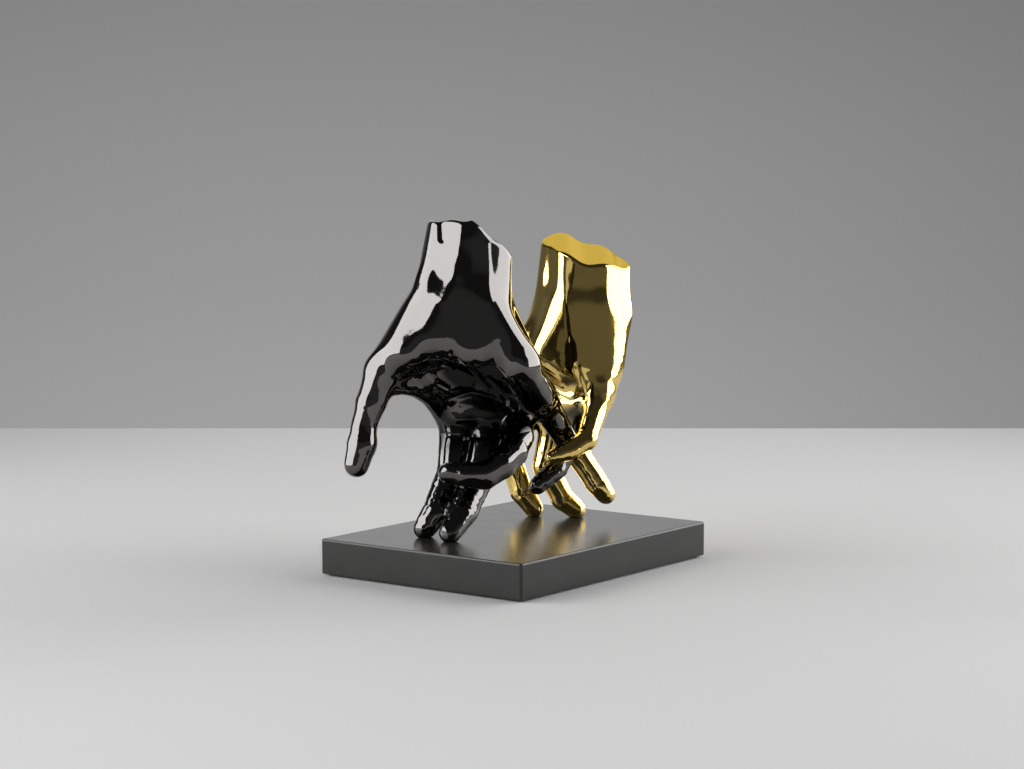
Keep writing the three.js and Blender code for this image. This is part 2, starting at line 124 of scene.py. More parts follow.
def blend(a: np.ndarray, b: np.ndarray, radius: float) -> np.ndarray:
    """Union of two distances with a fillet: the smaller one, less radius times h(1-h) where they are close.

    Args:
        a: First distance.
        b: Second distance.
        radius: Radius of the fillet.

    Returns:
        The blended distance.
    """
    share = np.clip(0.5 + 0.5 * (b - a) / radius, 0.0, 1.0)
    return b + (a - b) * share - radius * share * (1.0 - share)


def carve(a: np.ndarray, b: np.ndarray, radius: float) -> np.ndarray:
    """Intersection of two distances with a rounded edge, the blend of their negatives."""
    return -blend(-a, -b, radius)


def bone_distance(points: np.ndarray, bone: np.ndarray) -> np.ndarray:
    """Signed distance to a tapered bone with round ends.

    In the half plane of the bone's axis, x away from the axis and y along it, the surface is an arc about
    each end and the line that touches both arcs.

    Args:
        points: Array of points.
        bone: Two rows of right, back, up and radius.

    Returns:
        One distance a point.
    """
    start, axis = bone[0, :3], bone[1, :3] - bone[0, :3]
    length = np.linalg.norm(axis)
    offset = points - start
    y = offset @ (axis / length)
    x = np.sqrt(np.maximum(np.einsum("ij,ij->i", offset, offset) - y * y, 0.0))
    sine = (bone[0, 3] - bone[1, 3]) / length
    cosine = math.sqrt(1.0 - sine * sine)
    station = y * cosine - x * sine
    side = x * cosine + y * sine - bone[0, 3]
    near = np.hypot(x, y) - bone[0, 3]
    far = np.hypot(x, y - length) - bone[1, 3]
    return np.where(station < 0.0, near, np.where(station > cosine * length, far, side))


def blended_bones(points: np.ndarray, bones: list[np.ndarray], radius: float) -> np.ndarray:
    """Blended union of bones as one distance, which is right near the bones and merely large elsewhere.

    Args:
        points: Array of points.
        bones: The bones, in the order of blending.
        radius: Radius of the fillets.

    Returns:
        One distance a point.
    """
    total = np.full(len(points), REACH)
    for bone in bones:
        reach = bone[:, 3:] + REACH
        low, high = (bone[:, :3] - reach).min(axis=0), (bone[:, :3] + reach).max(axis=0)
        near = np.flatnonzero(np.all((points > low) & (points < high), axis=1))
        total[near] = blend(total[near], bone_distance(points[near], bone), radius)
    return total


def ripple(points: np.ndarray, length: float) -> np.ndarray:
    """Waves like those of a cast from life: sines along three skew directions, each bent by the next.

    Args:
        points: Array of points.
        length: Length of a wave.

    Returns:
        One height a point, from -1 to 1.
    """
    a, b, c = (2.0 * math.pi / length) * (WAVE_WAYS @ points.T)
    waves = [np.sin(one + WAVE_BEND * np.sin(other)) for one, other in ((a, b), (b, c), (c, a))]
    return sum(waves) / len(waves)


def links(rows: np.ndarray) -> list[np.ndarray]:
    """Consecutive joints as bones."""
    return [rows[i:i + 2] for i in range(len(rows) - 1)]


def unit(vectors: np.ndarray) -> np.ndarray:
    """Vectors scaled to length 1."""
    return vectors / np.maximum(np.linalg.norm(vectors, axis=-1, keepdims=True), LEAST_LENGTH)


@dataclass(frozen=True)
class WristCut:
    """The waved cut through a wrist, leaning back: height over right and back, in millimetres."""

    top: float
    shoulder: float
    drop: float
    lean: float
    hinge: float
    wave: float
    pitch: float
    dip: float
    edge: float = 3.0

    def distance(self, points: np.ndarray) -> np.ndarray:
        """Distance above the cut: up less the height of a falling line with a cosine wave on it.

        Args:
            points: Array of points.

        Returns:
            One distance a point, positive above the cut.
        """
        right, back, up = points.T
        swell = self.wave * np.cos(2.0 * math.pi * (right - self.dip) / self.pitch)
        fall = self.drop * np.maximum(right - self.shoulder, 0.0)
        height = self.top - fall - swell + self.lean * (back - self.hinge)
        grade = np.where(right > self.shoulder, self.drop, 0.0)
        return (up - height) / np.sqrt(1.0 + grade * grade + self.lean * self.lean)


@dataclass(frozen=True)
class Fold:
    """A crease or ridge that follows a broken line of right and up on one side of a hand.

    It lies only on skin in front of a given depth, and its height fades along the line to a share of itself.
    """

    line: tuple[tuple[float, float], ...]
    height: float
    width: float
    side: Side = Side.PALM
    front_of: float = math.inf
    end_share: float = 1.0
    side_range: tuple[float, float] = (0.1, 0.5)

    def relief(self, points: np.ndarray, facing: np.ndarray) -> np.ndarray:
        """Height over the skin: a bell across the line, on the fold's side alone.

        Args:
            points: Array of points.
            facing: The skin's outward directions there.

        Returns:
            One height a point.
        """
        spot = points[:, [0, 2]]
        line = np.array(self.line)
        stations = np.concatenate([[0.0], np.cumsum(np.linalg.norm(np.diff(line, axis=0), axis=1))])
        least = np.full(len(points), np.inf)
        along = np.zeros(len(points))
        for i, (start, end) in enumerate(zip(line[:-1], line[1:])):
            way = end - start
            share = np.clip((spot - start) @ way / (way @ way), 0.0, 1.0)
            apart = np.linalg.norm(spot - start - share[:, None] * way, axis=1)
            along = np.where(apart < least, stations[i] + share * (stations[i + 1] - stations[i]), along)
            least = np.minimum(least, apart)
        fade = 1.0 + (self.end_share - 1.0) * along / stations[-1]
        shown = smooth_step(self.side.value * facing[:, 1], *self.side_range) * (points[:, 1] < self.front_of)
        return self.height * fade * bell(least, self.width) * shown


@dataclass(frozen=True)
class Finger:
    """A digit: its joints from the knuckle to the tip, which of them carry creases, and its relief.

    Lengths are in millimetres, but joint_reach is in radii of the joint, nail_length and nail_shift are in
    radii of the tip and nail_arc is in radians. The crease, wrinkle and pad ranges are cosines between the
    skin's direction and a side of the finger.
    """

    joints: tuple[Row, ...]
    creased: tuple[int, ...] = (1, 2)
    palm_lean: float = 0.6
    crease_depth: float = 0.3
    crease_width: float = 1.5
    crease_ahead: float = 1.5
    crease_behind: float = 1.9
    behind_share: float = 0.7
    crease_range: tuple[float, float] = (-0.1, 0.5)
    joint_reach: tuple[float, float] = (1.2, 1.7)
    wander: float = 1.0
    wander_length: float = 11.0
    wrinkle_share: float = 0.5
    wrinkle_spread: float = 4.5
    wrinkle_pitch: float = 3.1
    wrinkle_range: tuple[float, float] = (0.3, 0.8)
    pad_height: float = 0.7
    pad_range: tuple[float, float] = (0.0, 0.8)
    own_width: float = 1.2
    nail_length: float = 1.25
    nail_arc: float = 0.92
    nail_shift: float = 0.12
    nail_power: int = 4
    nail_height: float = 0.18
    nail_rim: tuple[float, float] = (0.8, 1.0)
    groove_depth: float = 0.35
    groove_at: float = 1.06
    groove_width: float = 0.1

    @property
    def rows(self) -> np.ndarray:
        """The joints as one array of right, back, up and radius."""
        return np.array(self.joints)

    def palmar(self) -> np.ndarray:
        """Direction of the pad side of each bone: the inside of the curl, leaning to the palm's side.

        Returns:
            One unit vector a bone.
        """
        axes = unit(np.diff(self.rows[:, :3], axis=0))
        bends = np.diff(axes, axis=0)
        inside = np.zeros_like(axes)
        inside[:-1] += bends
        inside[1:] += bends
        inside += self.palm_lean * np.array([0.0, Side.PALM.value, 0.0])
        inside -= np.sum(inside * axes, axis=1, keepdims=True) * axes
        return unit(inside)

    def relief(self, points: np.ndarray, facing: np.ndarray, own: np.ndarray) -> np.ndarray:
        """Creases under each creased joint, wrinkles over it, a pad under each phalanx and the nail.

        Creases and wrinkles are bells and waves along the finger, pads are parabolas along it, and each is
        kept to its side of the finger by the skin's direction.

        Args:
            points: Array of points.
            facing: The skin's outward directions there.
            own: Distances to this digit alone, which keep the relief off the others.

        Returns:
            One height a point.
        """
        rows = self.rows
        axes = unit(np.diff(rows[:, :3], axis=0))
        palmar = self.palmar()
        height = np.zeros(len(points))
        for i in self.creased:
            axis = unit(axes[i - 1] + axes[i])
            pad_side = facing @ unit(palmar[i - 1] + palmar[i])
            offset = points - rows[i, :3]
            along = offset @ axis + self.wander * ripple(points, self.wander_length)
            near = 1.0 - smooth_step(np.linalg.norm(offset, axis=1) / rows[i, 3], *self.joint_reach)
            creases = bell(along - self.crease_ahead, self.crease_width)
            creases += self.behind_share * bell(along + self.crease_behind, self.crease_width)
            waves = 0.5 + 0.5 * np.cos(2.0 * math.pi * along / self.wrinkle_pitch)
            wrinkles = self.wrinkle_share * bell(along, self.wrinkle_spread) * waves
            height -= self.crease_depth * near * creases * smooth_step(pad_side, *self.crease_range)
            height -= self.crease_depth * near * wrinkles * smooth_step(-pad_side, *self.wrinkle_range)
        bends = (0, *self.creased, len(rows) - 1)
        for start, end in zip(bends[:-1], bends[1:]):
            middle = rows[[start, end], :3].mean(axis=0)
            half = 0.5 * (rows[end, :3] - rows[start, :3])
            along = ((points - middle) @ half) / (half @ half)
            crown = np.maximum(1.0 - along * along, 0.0)
            pad_side = facing @ unit(palmar[start:end].sum(axis=0))
            height += self.pad_height * crown * smooth_step(pad_side, *self.pad_range)
        height += self._nail(points, axes[-1], -palmar[-1])
        return height * bell(np.maximum(own, 0.0), self.own_width)

    def _nail(self, points: np.ndarray, axis: np.ndarray, outer: np.ndarray) -> np.ndarray:
        """Nail on the tip: a raised plate inside a rounded oblong, with a groove round its edge.

        Args:
            points: Array of points.
            axis: Direction of the last bone.
            outer: Direction of the back of the finger there.

        Returns:
            One height a point.
        """
        tip = self.rows[-1]
        offset = points - tip[:3]
        along = (offset @ axis) / tip[3]
        across = np.arctan2(offset @ np.cross(axis, outer), offset @ outer)
        lengthwise = np.abs((along + self.nail_shift) / (0.5 * self.nail_length)) ** self.nail_power
        crosswise = np.abs(across / self.nail_arc) ** self.nail_power
        edge = (lengthwise + crosswise) ** (1.0 / self.nail_power)
        plate = self.nail_height * (1.0 - smooth_step(edge, *self.nail_rim))
        return plate - self.groove_depth * bell(edge - self.groove_at, self.groove_width)


@dataclass(frozen=True)
class HandPose:
    """Skeleton of a hand in millimetres: digits, carpals, forearm and palm bones, and its wrist cut."""

    digits: dict[Digit, Finger]
    carpals: dict[Digit, Row]
    forearm: tuple[tuple[Row, Row], ...]
    palm: dict[str, tuple[Row, Row]]
    cut: WristCut
    standing: tuple[Digit, ...] = (Digit.INDEX, Digit.MIDDLE)
    folds: tuple[Fold, ...] = ()
    ripple_top: float = 160.0
    ripple_fade: float = 30.0
    tendon_height: float = 0.9
    tendon_width: float = 3.5
    knuckle_share: float = 0.12
    knuckle_height: float = 1.1
    knuckle_width: float = 6.0

    def tendons(self) -> list[Fold]:
        """Ridges over the back of the hand from its wrist to its knuckles, and the knuckles themselves.

        Returns:
            Two folds a finger.
        """
        made = []
        for digit, wrist in self.carpals.items():
            start = np.array(wrist)[[0, 2]]
            end = self.digits[digit].rows[0, [0, 2]]
            knuckle = end + self.knuckle_share * (start - end)
            tendon = (tuple(start), tuple(end))
            hump = (tuple(knuckle), tuple(end))
            made.append(Fold(tendon, self.tendon_height, self.tendon_width, Side.BACK))
            made.append(Fold(hump, self.knuckle_height, self.knuckle_width, Side.BACK))
        return made

    def feet(self) -> np.ndarray:
        """Last joints of the standing fingers."""
        return np.array([self.digits[digit].rows[-1] for digit in self.standing])


# Height of a standing fingertip's centre is its radius less this flat
TIP_FLAT = 2.0


def foot(right: float, back: float, radius: float) -> Row:
    """The last joint of a finger that stands on the plinth."""
    return (right, back, radius - TIP_FLAT, radius)


DARK_POSE = HandPose(
    digits={
        Digit.THUMB: Finger(
            joints=((-107, -36, 135, 14.5), (-117, -39, 109, 12.2), (-122.5, -42, 91, 10.2),
                    (-124, -44, 76.5, 11.8), (-128.5, -47, 60, 10.2)),
            creased=(2,),
            crease_depth=0.0,
        ),
        Digit.INDEX: Finger(
            joints=((-48.5, 2, 96.5, 14), (-53, -15, 49.5, 12), (-64, -33, 21.5, 11.6),
                    foot(-74.5, -38, 9.2)),
        ),
        Digit.MIDDLE: Finger(
            joints=((-24, 8, 91.5, 13.5), (-29.3, -22, 49.5, 12.4), (-43.5, -45, 22, 11.8),
                    foot(-53.5, -59, 9.2)),
        ),
        Digit.RING: Finger(
            joints=((0, 10, 97, 13), (1, -21, 79, 12.4), (-3.5, -37, 68.5, 11.8), (-13, -50, 60, 11.2),
                    (-26, -58.5, 53, 11), (-40, -59.3, 53, 10.2), (-55, -57.5, 55, 8.6)),
            creased=(2, 4),
        ),
        Digit.LITTLE: Finger(
            joints=((19.5, 8, 109, 12), (44, 30, 65.5, 9.2), (32, 18, 47, 8.6), (16.5, 9, 35, 7.4)),
        ),
    },
    carpals={
        Digit.INDEX: (-57, -14, 203, 17),
        Digit.MIDDLE: (-44.5, -10, 198.5, 18),
        Digit.RING: (-33, -10, 197, 18),
        Digit.LITTLE: (-23.5, -13, 194.5, 16),
    },
    forearm=(
        ((-53, -18, 264, 16.5), (-62, -22, 197, 20.5)),
        ((-35, -25, 262, 18), (-40, -30, 198.5, 22)),
        ((-18, -19, 250, 15.5), (-22.5, -25, 190.5, 17)),
    ),
    palm={
        "thumb_root": ((-74, -28, 180, 20), (-107, -36, 135, 14.5)),
        "thumb_pad": ((-64, -36, 183, 17), (-89, -47, 150.5, 15)),
        "little_pad": ((-25, -36, 185, 16), (2, -38, 141, 14.5)),
        "little_edge": ((2, -38, 141, 14.5), (19, -7, 112, 12.5)),
        "heel": ((-39.5, -35, 193, 18), (-36, -40, 154, 17.5)),
        "palm_centre": ((-51, -34, 190, 16), (-62, -43, 157, 15)),
        "wrist_knob": ((-55, -39, 180, 11.5), (-57, -41, 170, 11.5)),
        "web_edge": ((-95, -30, 122.5, 9), (-77, -18, 121, 9)),
        "web": ((-77, -18, 121, 9), (-58, -4, 97, 11)),
        "web_root": ((-82, -30, 150.5, 13), (-57.5, -14, 121, 13)),
        "index_mound": ((-48, -6, 98, 10), (-22, -2, 94.5, 10)),
        "middle_mound": ((-22, -2, 94.5, 10), (0, 0, 100.5, 10)),
        "ring_mound": ((0, 0, 100.5, 10), (15.5, 0, 113, 9)),
    },
    folds=(
        Fold(((-52, 150), (-44, 139), (-30, 126), (-23.5, 118)), -0.7, 2.4),
        Fold(((-82, 130), (-76, 121.5), (-70, 113.5)), -0.5, 2.2),
        Fold(((-71.5, 133), (-64.5, 125), (-56.5, 120)), -0.6, 2.2),
        Fold(((-64, 116), (-57.5, 109.5), (-52.5, 100)), -0.5, 2.0),
        Fold(((-23, 126.5), (-14, 118.5), (-9, 106)), -0.9, 1.6),
        Fold(((-30, 113.5), (-19, 106.5), (-15, 96.5)), -0.7, 1.5),
        Fold(((-9, 126), (0, 114), (0.5, 100)), -0.8, 1.6),
        Fold(((-56, 110.5), (-38, 115), (-20.5, 110.5), (-4.5, 99.5)), -0.9, 1.8),
        Fold(((-60.5, 81), (-38.5, 78.5), (-14, 78.5), (10.5, 86)), -0.9, 1.7),
        Fold(((-46, 105.5), (-37, 105.5)), 0.8, 2.4),
        Fold(((-48, 93), (-36, 93)), 0.8, 2.6),
        Fold(((-60.5, 258), (-59, 240)), -1.2, 3.0),
        Fold(((-66, 256), (-68.5, 222), (-76, 191.5)), 0.8, 4.5),
        Fold(((-44, 256), (-47, 222), (-57, 192)), 0.8, 4.5),
        Fold(((-36, 245), (-37.5, 192), (-39.5, 165)), 0.3, 2.2),
        Fold(((-24, 236), (-21.5, 192), (-15, 162)), 0.3, 2.2),
        Fold(((-49.5, 190), (-43, 178), (-44, 167)), -0.4, 2.2),
        Fold(((2, 146), (16, 121), (29, 98)), 1.3, 5.0),
        Fold(((-62, 127), (-45, 129), (-30, 129), (-12, 124)), 2.4, 13.0),
        Fold(((-52, 212), (-60, 194), (-65, 178), (-67, 166)), 3.4, 13.0),
        Fold(((-88, 208), (-73, 208)), 2.6, 13.0),
        Fold(((-44, 240), (-49, 226)), 1.6, 13.0),
        Fold(((-56, 59.5), (-40, 57), (-26, 57.5), (-10.5, 64), (0, 71), (5, 79)), 1.2, 4.0, front_of=-40),
    ),
    cut=WristCut(top=255, shoulder=-36, drop=0.84, lean=-0.06, hinge=-40, wave=0.8, pitch=20.4, dip=-62.5),
)

GOLD_POSE = HandPose(
    digits={
        Digit.THUMB: Finger(
            joints=((0, 76, 127, 13), (-21, 72, 93, 10.2), (-31.5, 66, 70, 9)),
            creased=(1,),
        ),
        Digit.INDEX: Finger(
            joints=((11, 78, 96.5, 11.5), (-6, 78, 49.5, 10), (4, 76, 20.5, 9.6), foot(14.5, 75, 8.6)),
        ),
        Digit.MIDDLE: Finger(
            joints=((33, 70, 90.5, 12), (23.5, 70, 43.5, 10.4), (39, 70, 15.5, 9.8), foot(50, 69, 8.8)),
        ),
        Digit.RING: Finger(
            joints=((53.5, 57, 94.5, 11.5), (51, 48, 56, 10), (67, 46, 32.5, 9.6), (74.5, 46, 22.5, 8.4)),
        ),
        Digit.LITTLE: Finger(
            joints=((70.5, 42, 109.5, 10.5), (57.5, 14, 72.5, 8.6), (43.5, 6, 65, 8), (30, 3, 60, 7)),
        ),
    },
    carpals={
        Digit.INDEX: (41, 70, 185, 15),
        Digit.MIDDLE: (51, 66, 183.5, 16),
        Digit.RING: (61, 60, 181.5, 16),
        Digit.LITTLE: (72, 56, 180.5, 15),
    },
    forearm=(
        ((41, 75, 250, 18.5), (36.5, 80, 185, 21.5)),
        ((42, 52, 250, 10), (42, 54, 185, 10.5)),
        ((58, 50, 248, 18), (56, 58, 181, 20.5)),
        ((79, 63, 240, 16), (77.5, 64, 177, 17.5)),
        ((60, 73, 246, 17.5), (57, 75, 181, 18)),
    ),
    palm={
        "thumb_root": ((31, 82, 166, 20.5), (0, 76, 127, 13.5)),
        "thumb_pad": ((39, 58, 176, 13.5), (23, 56, 140, 12.5)),
        "palm_centre": ((46, 57, 178, 18), (41, 51, 131, 15)),
        "little_pad": ((77, 58, 172, 18.5), (74, 48.5, 127, 15)),
        "heel": ((56, 54, 180, 20), (55, 45, 131, 16)),
        "web": ((6, 72, 123.5, 9), (12.5, 76, 101, 11)),
        "index_mound": ((12.5, 68, 101.5, 9), (33, 62, 96.5, 9)),
        "middle_mound": ((33, 62, 96.5, 9), (52.5, 48, 100.5, 9)),
        "ring_mound": ((52.5, 48, 100.5, 9), (67, 36, 113.5, 9)),
    },
    folds=(
        Fold(((49.5, 132.5), (53, 119), (57, 105.5)), -1.0, 1.8),
        Fold(((57, 105.5), (60.5, 116.5)), -0.6, 1.5),
        Fold(((35.5, 105), (44, 102), (54, 107)), -0.7, 1.7),
        Fold(((37, 226), (38, 195), (44, 157.5)), 0.6, 4.5),
        Fold(((75, 215), (72, 180), (71, 150), (72, 125), (69, 105)), 3.4, 9.0, end_share=0.0),
    ),
    cut=WristCut(top=231.5, shoulder=30, drop=0.25, lean=0.28, hinge=60, wave=1.8, pitch=33, dip=57),
)


class Term:
    """A shader socket whose arithmetic adds Math nodes."""

    def __init__(self, graph: Graph, socket: bpy.types.NodeSocket) -> None:
        """Keep the socket and the graph that it belongs to."""
        self.graph = graph
        self.socket = socket

    def _math(self, operation: str, first: Operand, second: Operand) -> Term:
        """Add one Math node on two operands."""
        return self.graph.node("ShaderNodeMath", {"operation": operation}, {0: first, 1: second})

    def __add__(self, other: Operand) -> Term:
        """Sum."""
        return self._math("ADD", self, other)

    __radd__ = __add__

    def __rsub__(self, other: Operand) -> Term:
        """Difference from a number."""
        return self._math("SUBTRACT", other, self)

    def __mul__(self, other: Operand) -> Term:
        """Product."""
        return self._math("MULTIPLY", self, other)

    __rmul__ = __mul__

    def __pow__(self, other: Operand) -> Term:
        """Power."""
        return self._math("POWER", self, other)


Operand = Union[Term, float]


class Graph:
    """The node tree of one material or world."""

    def __init__(self, tree: bpy.types.NodeTree) -> None:
        """Start from an empty tree."""
        self.tree = tree
        tree.nodes.clear()

    def node(self, kind: str, settings: dict | None = None, sockets: dict | None = None,
             output: int | str = 0) -> Term:
        """Add a node.

        Args:
            kind: The node's type.
            settings: Its own settings, with a ramp's stops as pairs of position and grey.
            sockets: Values or links of its inputs, by index or name.
            output: The output to hand on.

        Returns:
            That output.
        """
        made = self.tree.nodes.new(kind)
        for name, value in (settings or {}).items():
            if name == "stops":
                self._set_stops(made.color_ramp, value)
            else:
                setattr(made, name, value)
        for key, value in (sockets or {}).items():
            if isinstance(value, Term):
                self.tree.links.new(value.socket, made.inputs[key])
            else:
                made.inputs[key].default_value = value
        return Term(self, made.outputs[output] if made.outputs else None)

    @staticmethod
    def _set_stops(ramp: bpy.types.ColorRamp, stops: tuple[tuple[float, float], ...]) -> None:
        """Give a ramp its stops.

        Args:
            ramp: The ramp.
            stops: Pairs of position and grey, in order.
        """
        while len(ramp.elements) < len(stops):
            ramp.elements.new(1.0)
        for element, (position, grey) in zip(ramp.elements, stops):
            element.position = position
            element.color = (grey, grey, grey, 1.0)

    def noise(self, scale: float, detail: float) -> Term:
        """Noise over the piece's own coordinates, about 0 to 1.

        Args:
            scale: Waves in a metre.
            detail: Number of finer layers.

        Returns:
            The noise's value.
        """
        spot = self.node("ShaderNodeTexCoord", output="Object")
        return self.node("ShaderNodeTexNoise", {}, {"Vector": spot, "Scale": scale, "Detail": detail})

    def tint(self, share: Term, low: Colour | Term, high: Colour | Term) -> Term:
        """Mix of two colours by a share."""
        ends = [(*end, 1.0) if isinstance(end, tuple) else end for end in (low, high)]
        return self.node("ShaderNodeMix", {"data_type": "RGBA"}, {0: share, 6: ends[0], 7: ends[1]}, 2)

    def attribute(self, name: str) -> Term:
        """A number kept on the piece's points."""
        return self.node("ShaderNodeAttribute", {"attribute_name": name}, output="Fac")

    def bump(self, height: Term, depth: float, normal: Term | None = None) -> Term:
        """Bump of a given depth in metres.

        Args:
            height: Height from 0 to 1.
            depth: Depth of the bump in metres.
            normal: Normal to start from.

        Returns:
            The bumped normal.
        """
        sockets = {"Height": height, "Distance": depth, "Strength": 1.0}
        if normal is not None:
            sockets["Normal"] = normal
        return self.node("ShaderNodeBump", {}, sockets)

    def surface(self, **sockets: Term | float | Colour) -> None:
        """Finish the tree with a Principled shader.

        Args:
            sockets: Values or links by socket name, with underscores for spaces.
        """
        named = {}
        for key, value in sockets.items():
            named[key.replace("_", " ")] = (*value, 1.0) if isinstance(value, tuple) else value
        shader = self.node("ShaderNodeBsdfPrincipled", {}, named)
        self.node("ShaderNodeOutputMaterial", {}, {"Surface": shader})


def new_graph(name: str) -> tuple[bpy.types.Material, Graph]:
    """Make a material with an empty tree.

    Args:
        name: Name of the material.

    Returns:
        The material and the graph of its tree.
    """
    material = bpy.data.materials.new(name)
    material.use_nodes = True
    return material, Graph(material.node_tree)


@dataclass(frozen=True)
class MirrorPlate:
    """Mirror plating on a polished casting: faint tone drift, haze, soft orange peel, and painted shade that
    darkens its recesses.
    """

    name: str
    deep: Colour
    bright: Colour
    haze_low: float
    haze_high: float
    peel_depth: float
    coat: float = 0.0
    coat_ior: float = 1.8
    # Share of the deep colour that the painted shade leaves in the narrowest recesses
    recess: float = 0.12
    edge_tint: Colour = (1.0, 1.0, 1.0)
    # Attribute of how open the skin is, which sets the painted shade: 1 unshaded, 0 fully shaded
    unshaded_share: str = "open"
    coat_share: str = "lacquered"
    tone_scale: float = 22.0
    haze_scale: float = 70.0
    peel_scale: float = 210.0

    def material(self) -> bpy.types.Material:
        """Make the plating's material.

        Returns:
            The material.
        """
        material, graph = new_graph(self.name)
        tone = graph.noise(self.tone_scale, detail=3.0)
        haze = graph.noise(self.haze_scale, detail=4.0)
        peel = graph.noise(self.peel_scale, detail=2.0)
        # Painted shade: the colour falls towards recess times the deep colour where the skin is less open,
        # standing in for the dark surroundings that real recesses mirror
        dark = tuple(self.recess * value for value in self.deep)
        polished = graph.tint(tone, self.deep, self.bright)
        coat = self.coat * graph.attribute(self.coat_share) if self.coat else 0.0
        graph.surface(
            Base_Color=graph.tint(graph.attribute(self.unshaded_share), dark, polished),
            Metallic=1.0,
            Specular_Tint=self.edge_tint,
            Roughness=self.haze_low + (self.haze_high - self.haze_low) * haze,
            Normal=graph.bump(peel, self.peel_depth),
            Coat_Weight=coat,
            Coat_IOR=self.coat_ior,
        )
        return material


@dataclass(frozen=True)
class SatinLacquer:
    """Satin black lacquer: fine spray texture, mottled sheen and eased edges."""

    name: str
    deep: Colour
    bright: Colour
    edge_radius: float
    edge_samples: int = 6
    mottle_scale: float = 35.0
    spray_scale: float = 1600.0
    spray_depth: float = 0.00002
    haze_low: float = 0.21
    haze_spread: float = 0.06

    def material(self) -> bpy.types.Material:
        """Make the lacquer's material.

        Returns:
            The material.
        """
        material, graph = new_graph(self.name)
        mottle = graph.noise(self.mottle_scale, detail=4.0)
        spray = graph.noise(self.spray_scale, detail=2.0)
        edge = graph.node("ShaderNodeBevel", {"samples": self.edge_samples}, {"Radius": self.edge_radius})
        graph.surface(
            Base_Color=graph.tint(mottle, self.deep, self.bright),
            Roughness=self.haze_low + self.haze_spread * mottle,
            Normal=graph.bump(spray, self.spray_depth, edge),
        )
        return material


@dataclass(frozen=True)
class WoolFelt:
    """Pressed wool felt: short tangled fibres and a dusty sheen."""

    name: str
    deep: Colour
    bright: Colour
    tangle_scale: float = 900.0
    tuft_scale: float = 160.0
    nap_depth: float = 0.0004
    sheen: float = 0.4

    def material(self) -> bpy.types.Material:
        """Make the felt's material.

        Returns:
            The material.
        """
        material, graph = new_graph(self.name)
        tangle = graph.noise(self.tangle_scale, detail=6.0)
        tuft = graph.noise(self.tuft_scale, detail=3.0)
        graph.surface(
            Base_Color=graph.tint(tangle * tuft, self.deep, self.bright),
            Roughness=1.0,
            Sheen_Weight=self.sheen,
            Normal=graph.bump(tangle, self.nap_depth),
        )
        return material


@dataclass(frozen=True)
class ZincPlate:
    """Bright zinc plating on steel: crystal patches and fine turning marks."""

    name: str
    deep: Colour
    bright: Colour
    patch_scale: float = 500.0
    marks_scale: float = 2500.0
    marks_depth: float = 0.00003
    haze_low: float = 0.25
    haze_spread: float = 0.2

    def material(self) -> bpy.types.Material:
        """Make the zinc's material.

        Returns:
            The material.
        """
        material, graph = new_graph(self.name)
        patch = graph.noise(self.patch_scale, detail=3.0)
        marks = graph.noise(self.marks_scale, detail=1.0)
        graph.surface(
            Base_Color=graph.tint(patch, self.deep, self.bright),
            Metallic=1.0,
            Roughness=self.haze_low + self.haze_spread * patch,
            Normal=graph.bump(marks, self.marks_depth),
        )
        return material


DARK_MIRROR = MirrorPlate("dark_mirror", deep=(0.130, 0.125, 0.121), bright=(0.146, 0.140, 0.136),
                          haze_low=0.03, haze_high=0.1, peel_depth=0.00004)
GOLD_MIRROR = MirrorPlate("gold_mirror", deep=(0.80, 0.56, 0.11), bright=(0.86, 0.62, 0.15),
                          haze_low=0.04, haze_high=0.12, peel_depth=0.00004, coat=1.0,
                          edge_tint=(0.95, 0.8, 0.44))
BLACK_LACQUER = SatinLacquer("black_lacquer", deep=(0.017, 0.0168, 0.0158), bright=(0.026, 0.0256, 0.0242),
                             edge_radius=0.0012)
BLACK_FELT = WoolFelt("black_felt", deep=(0.008, 0.008, 0.008), bright=(0.03, 0.03, 0.03))
ZINC_STEEL = ZincPlate("zinc_steel", deep=(0.55, 0.56, 0.58), bright=(0.68, 0.69, 0.71))


def make_piece(name: str, points: np.ndarray, faces: np.ndarray,
               material: bpy.types.Material) -> bpy.types.Object:
    """Make a smooth-shaded mesh object at the origin.

    Args:
        name: Name of the piece.
        points: Its points in metres, one row each.
        faces: Its four-sided faces, one row of point numbers each.
        material: Its material.

    Returns:
        The object, linked to the scene.
    """
    mesh = bpy.data.meshes.new(name)
    mesh.vertices.add(len(points))
    mesh.vertices.foreach_set("co", points.astype(np.float32).ravel())
    mesh.loops.add(faces.size)
    mesh.loops.foreach_set("vertex_index", faces.astype(np.int32).ravel())
    mesh.polygons.add(len(faces))
    mesh.polygons.foreach_set("loop_start", np.arange(0, faces.size, faces.shape[1], dtype=np.int32))
    mesh.polygons.foreach_set("use_smooth", np.ones(len(faces), dtype=bool))
    mesh.update(calc_edges=True)
    mesh.validate()
    mesh.materials.append(material)
    piece = bpy.data.objects.new(name, mesh)
    bpy.context.scene.collection.objects.link(piece)
    return piece


# Nodes kept free at a lattice's high end, so that the spline's four nodes are always there
SPLINE_END = 2.001


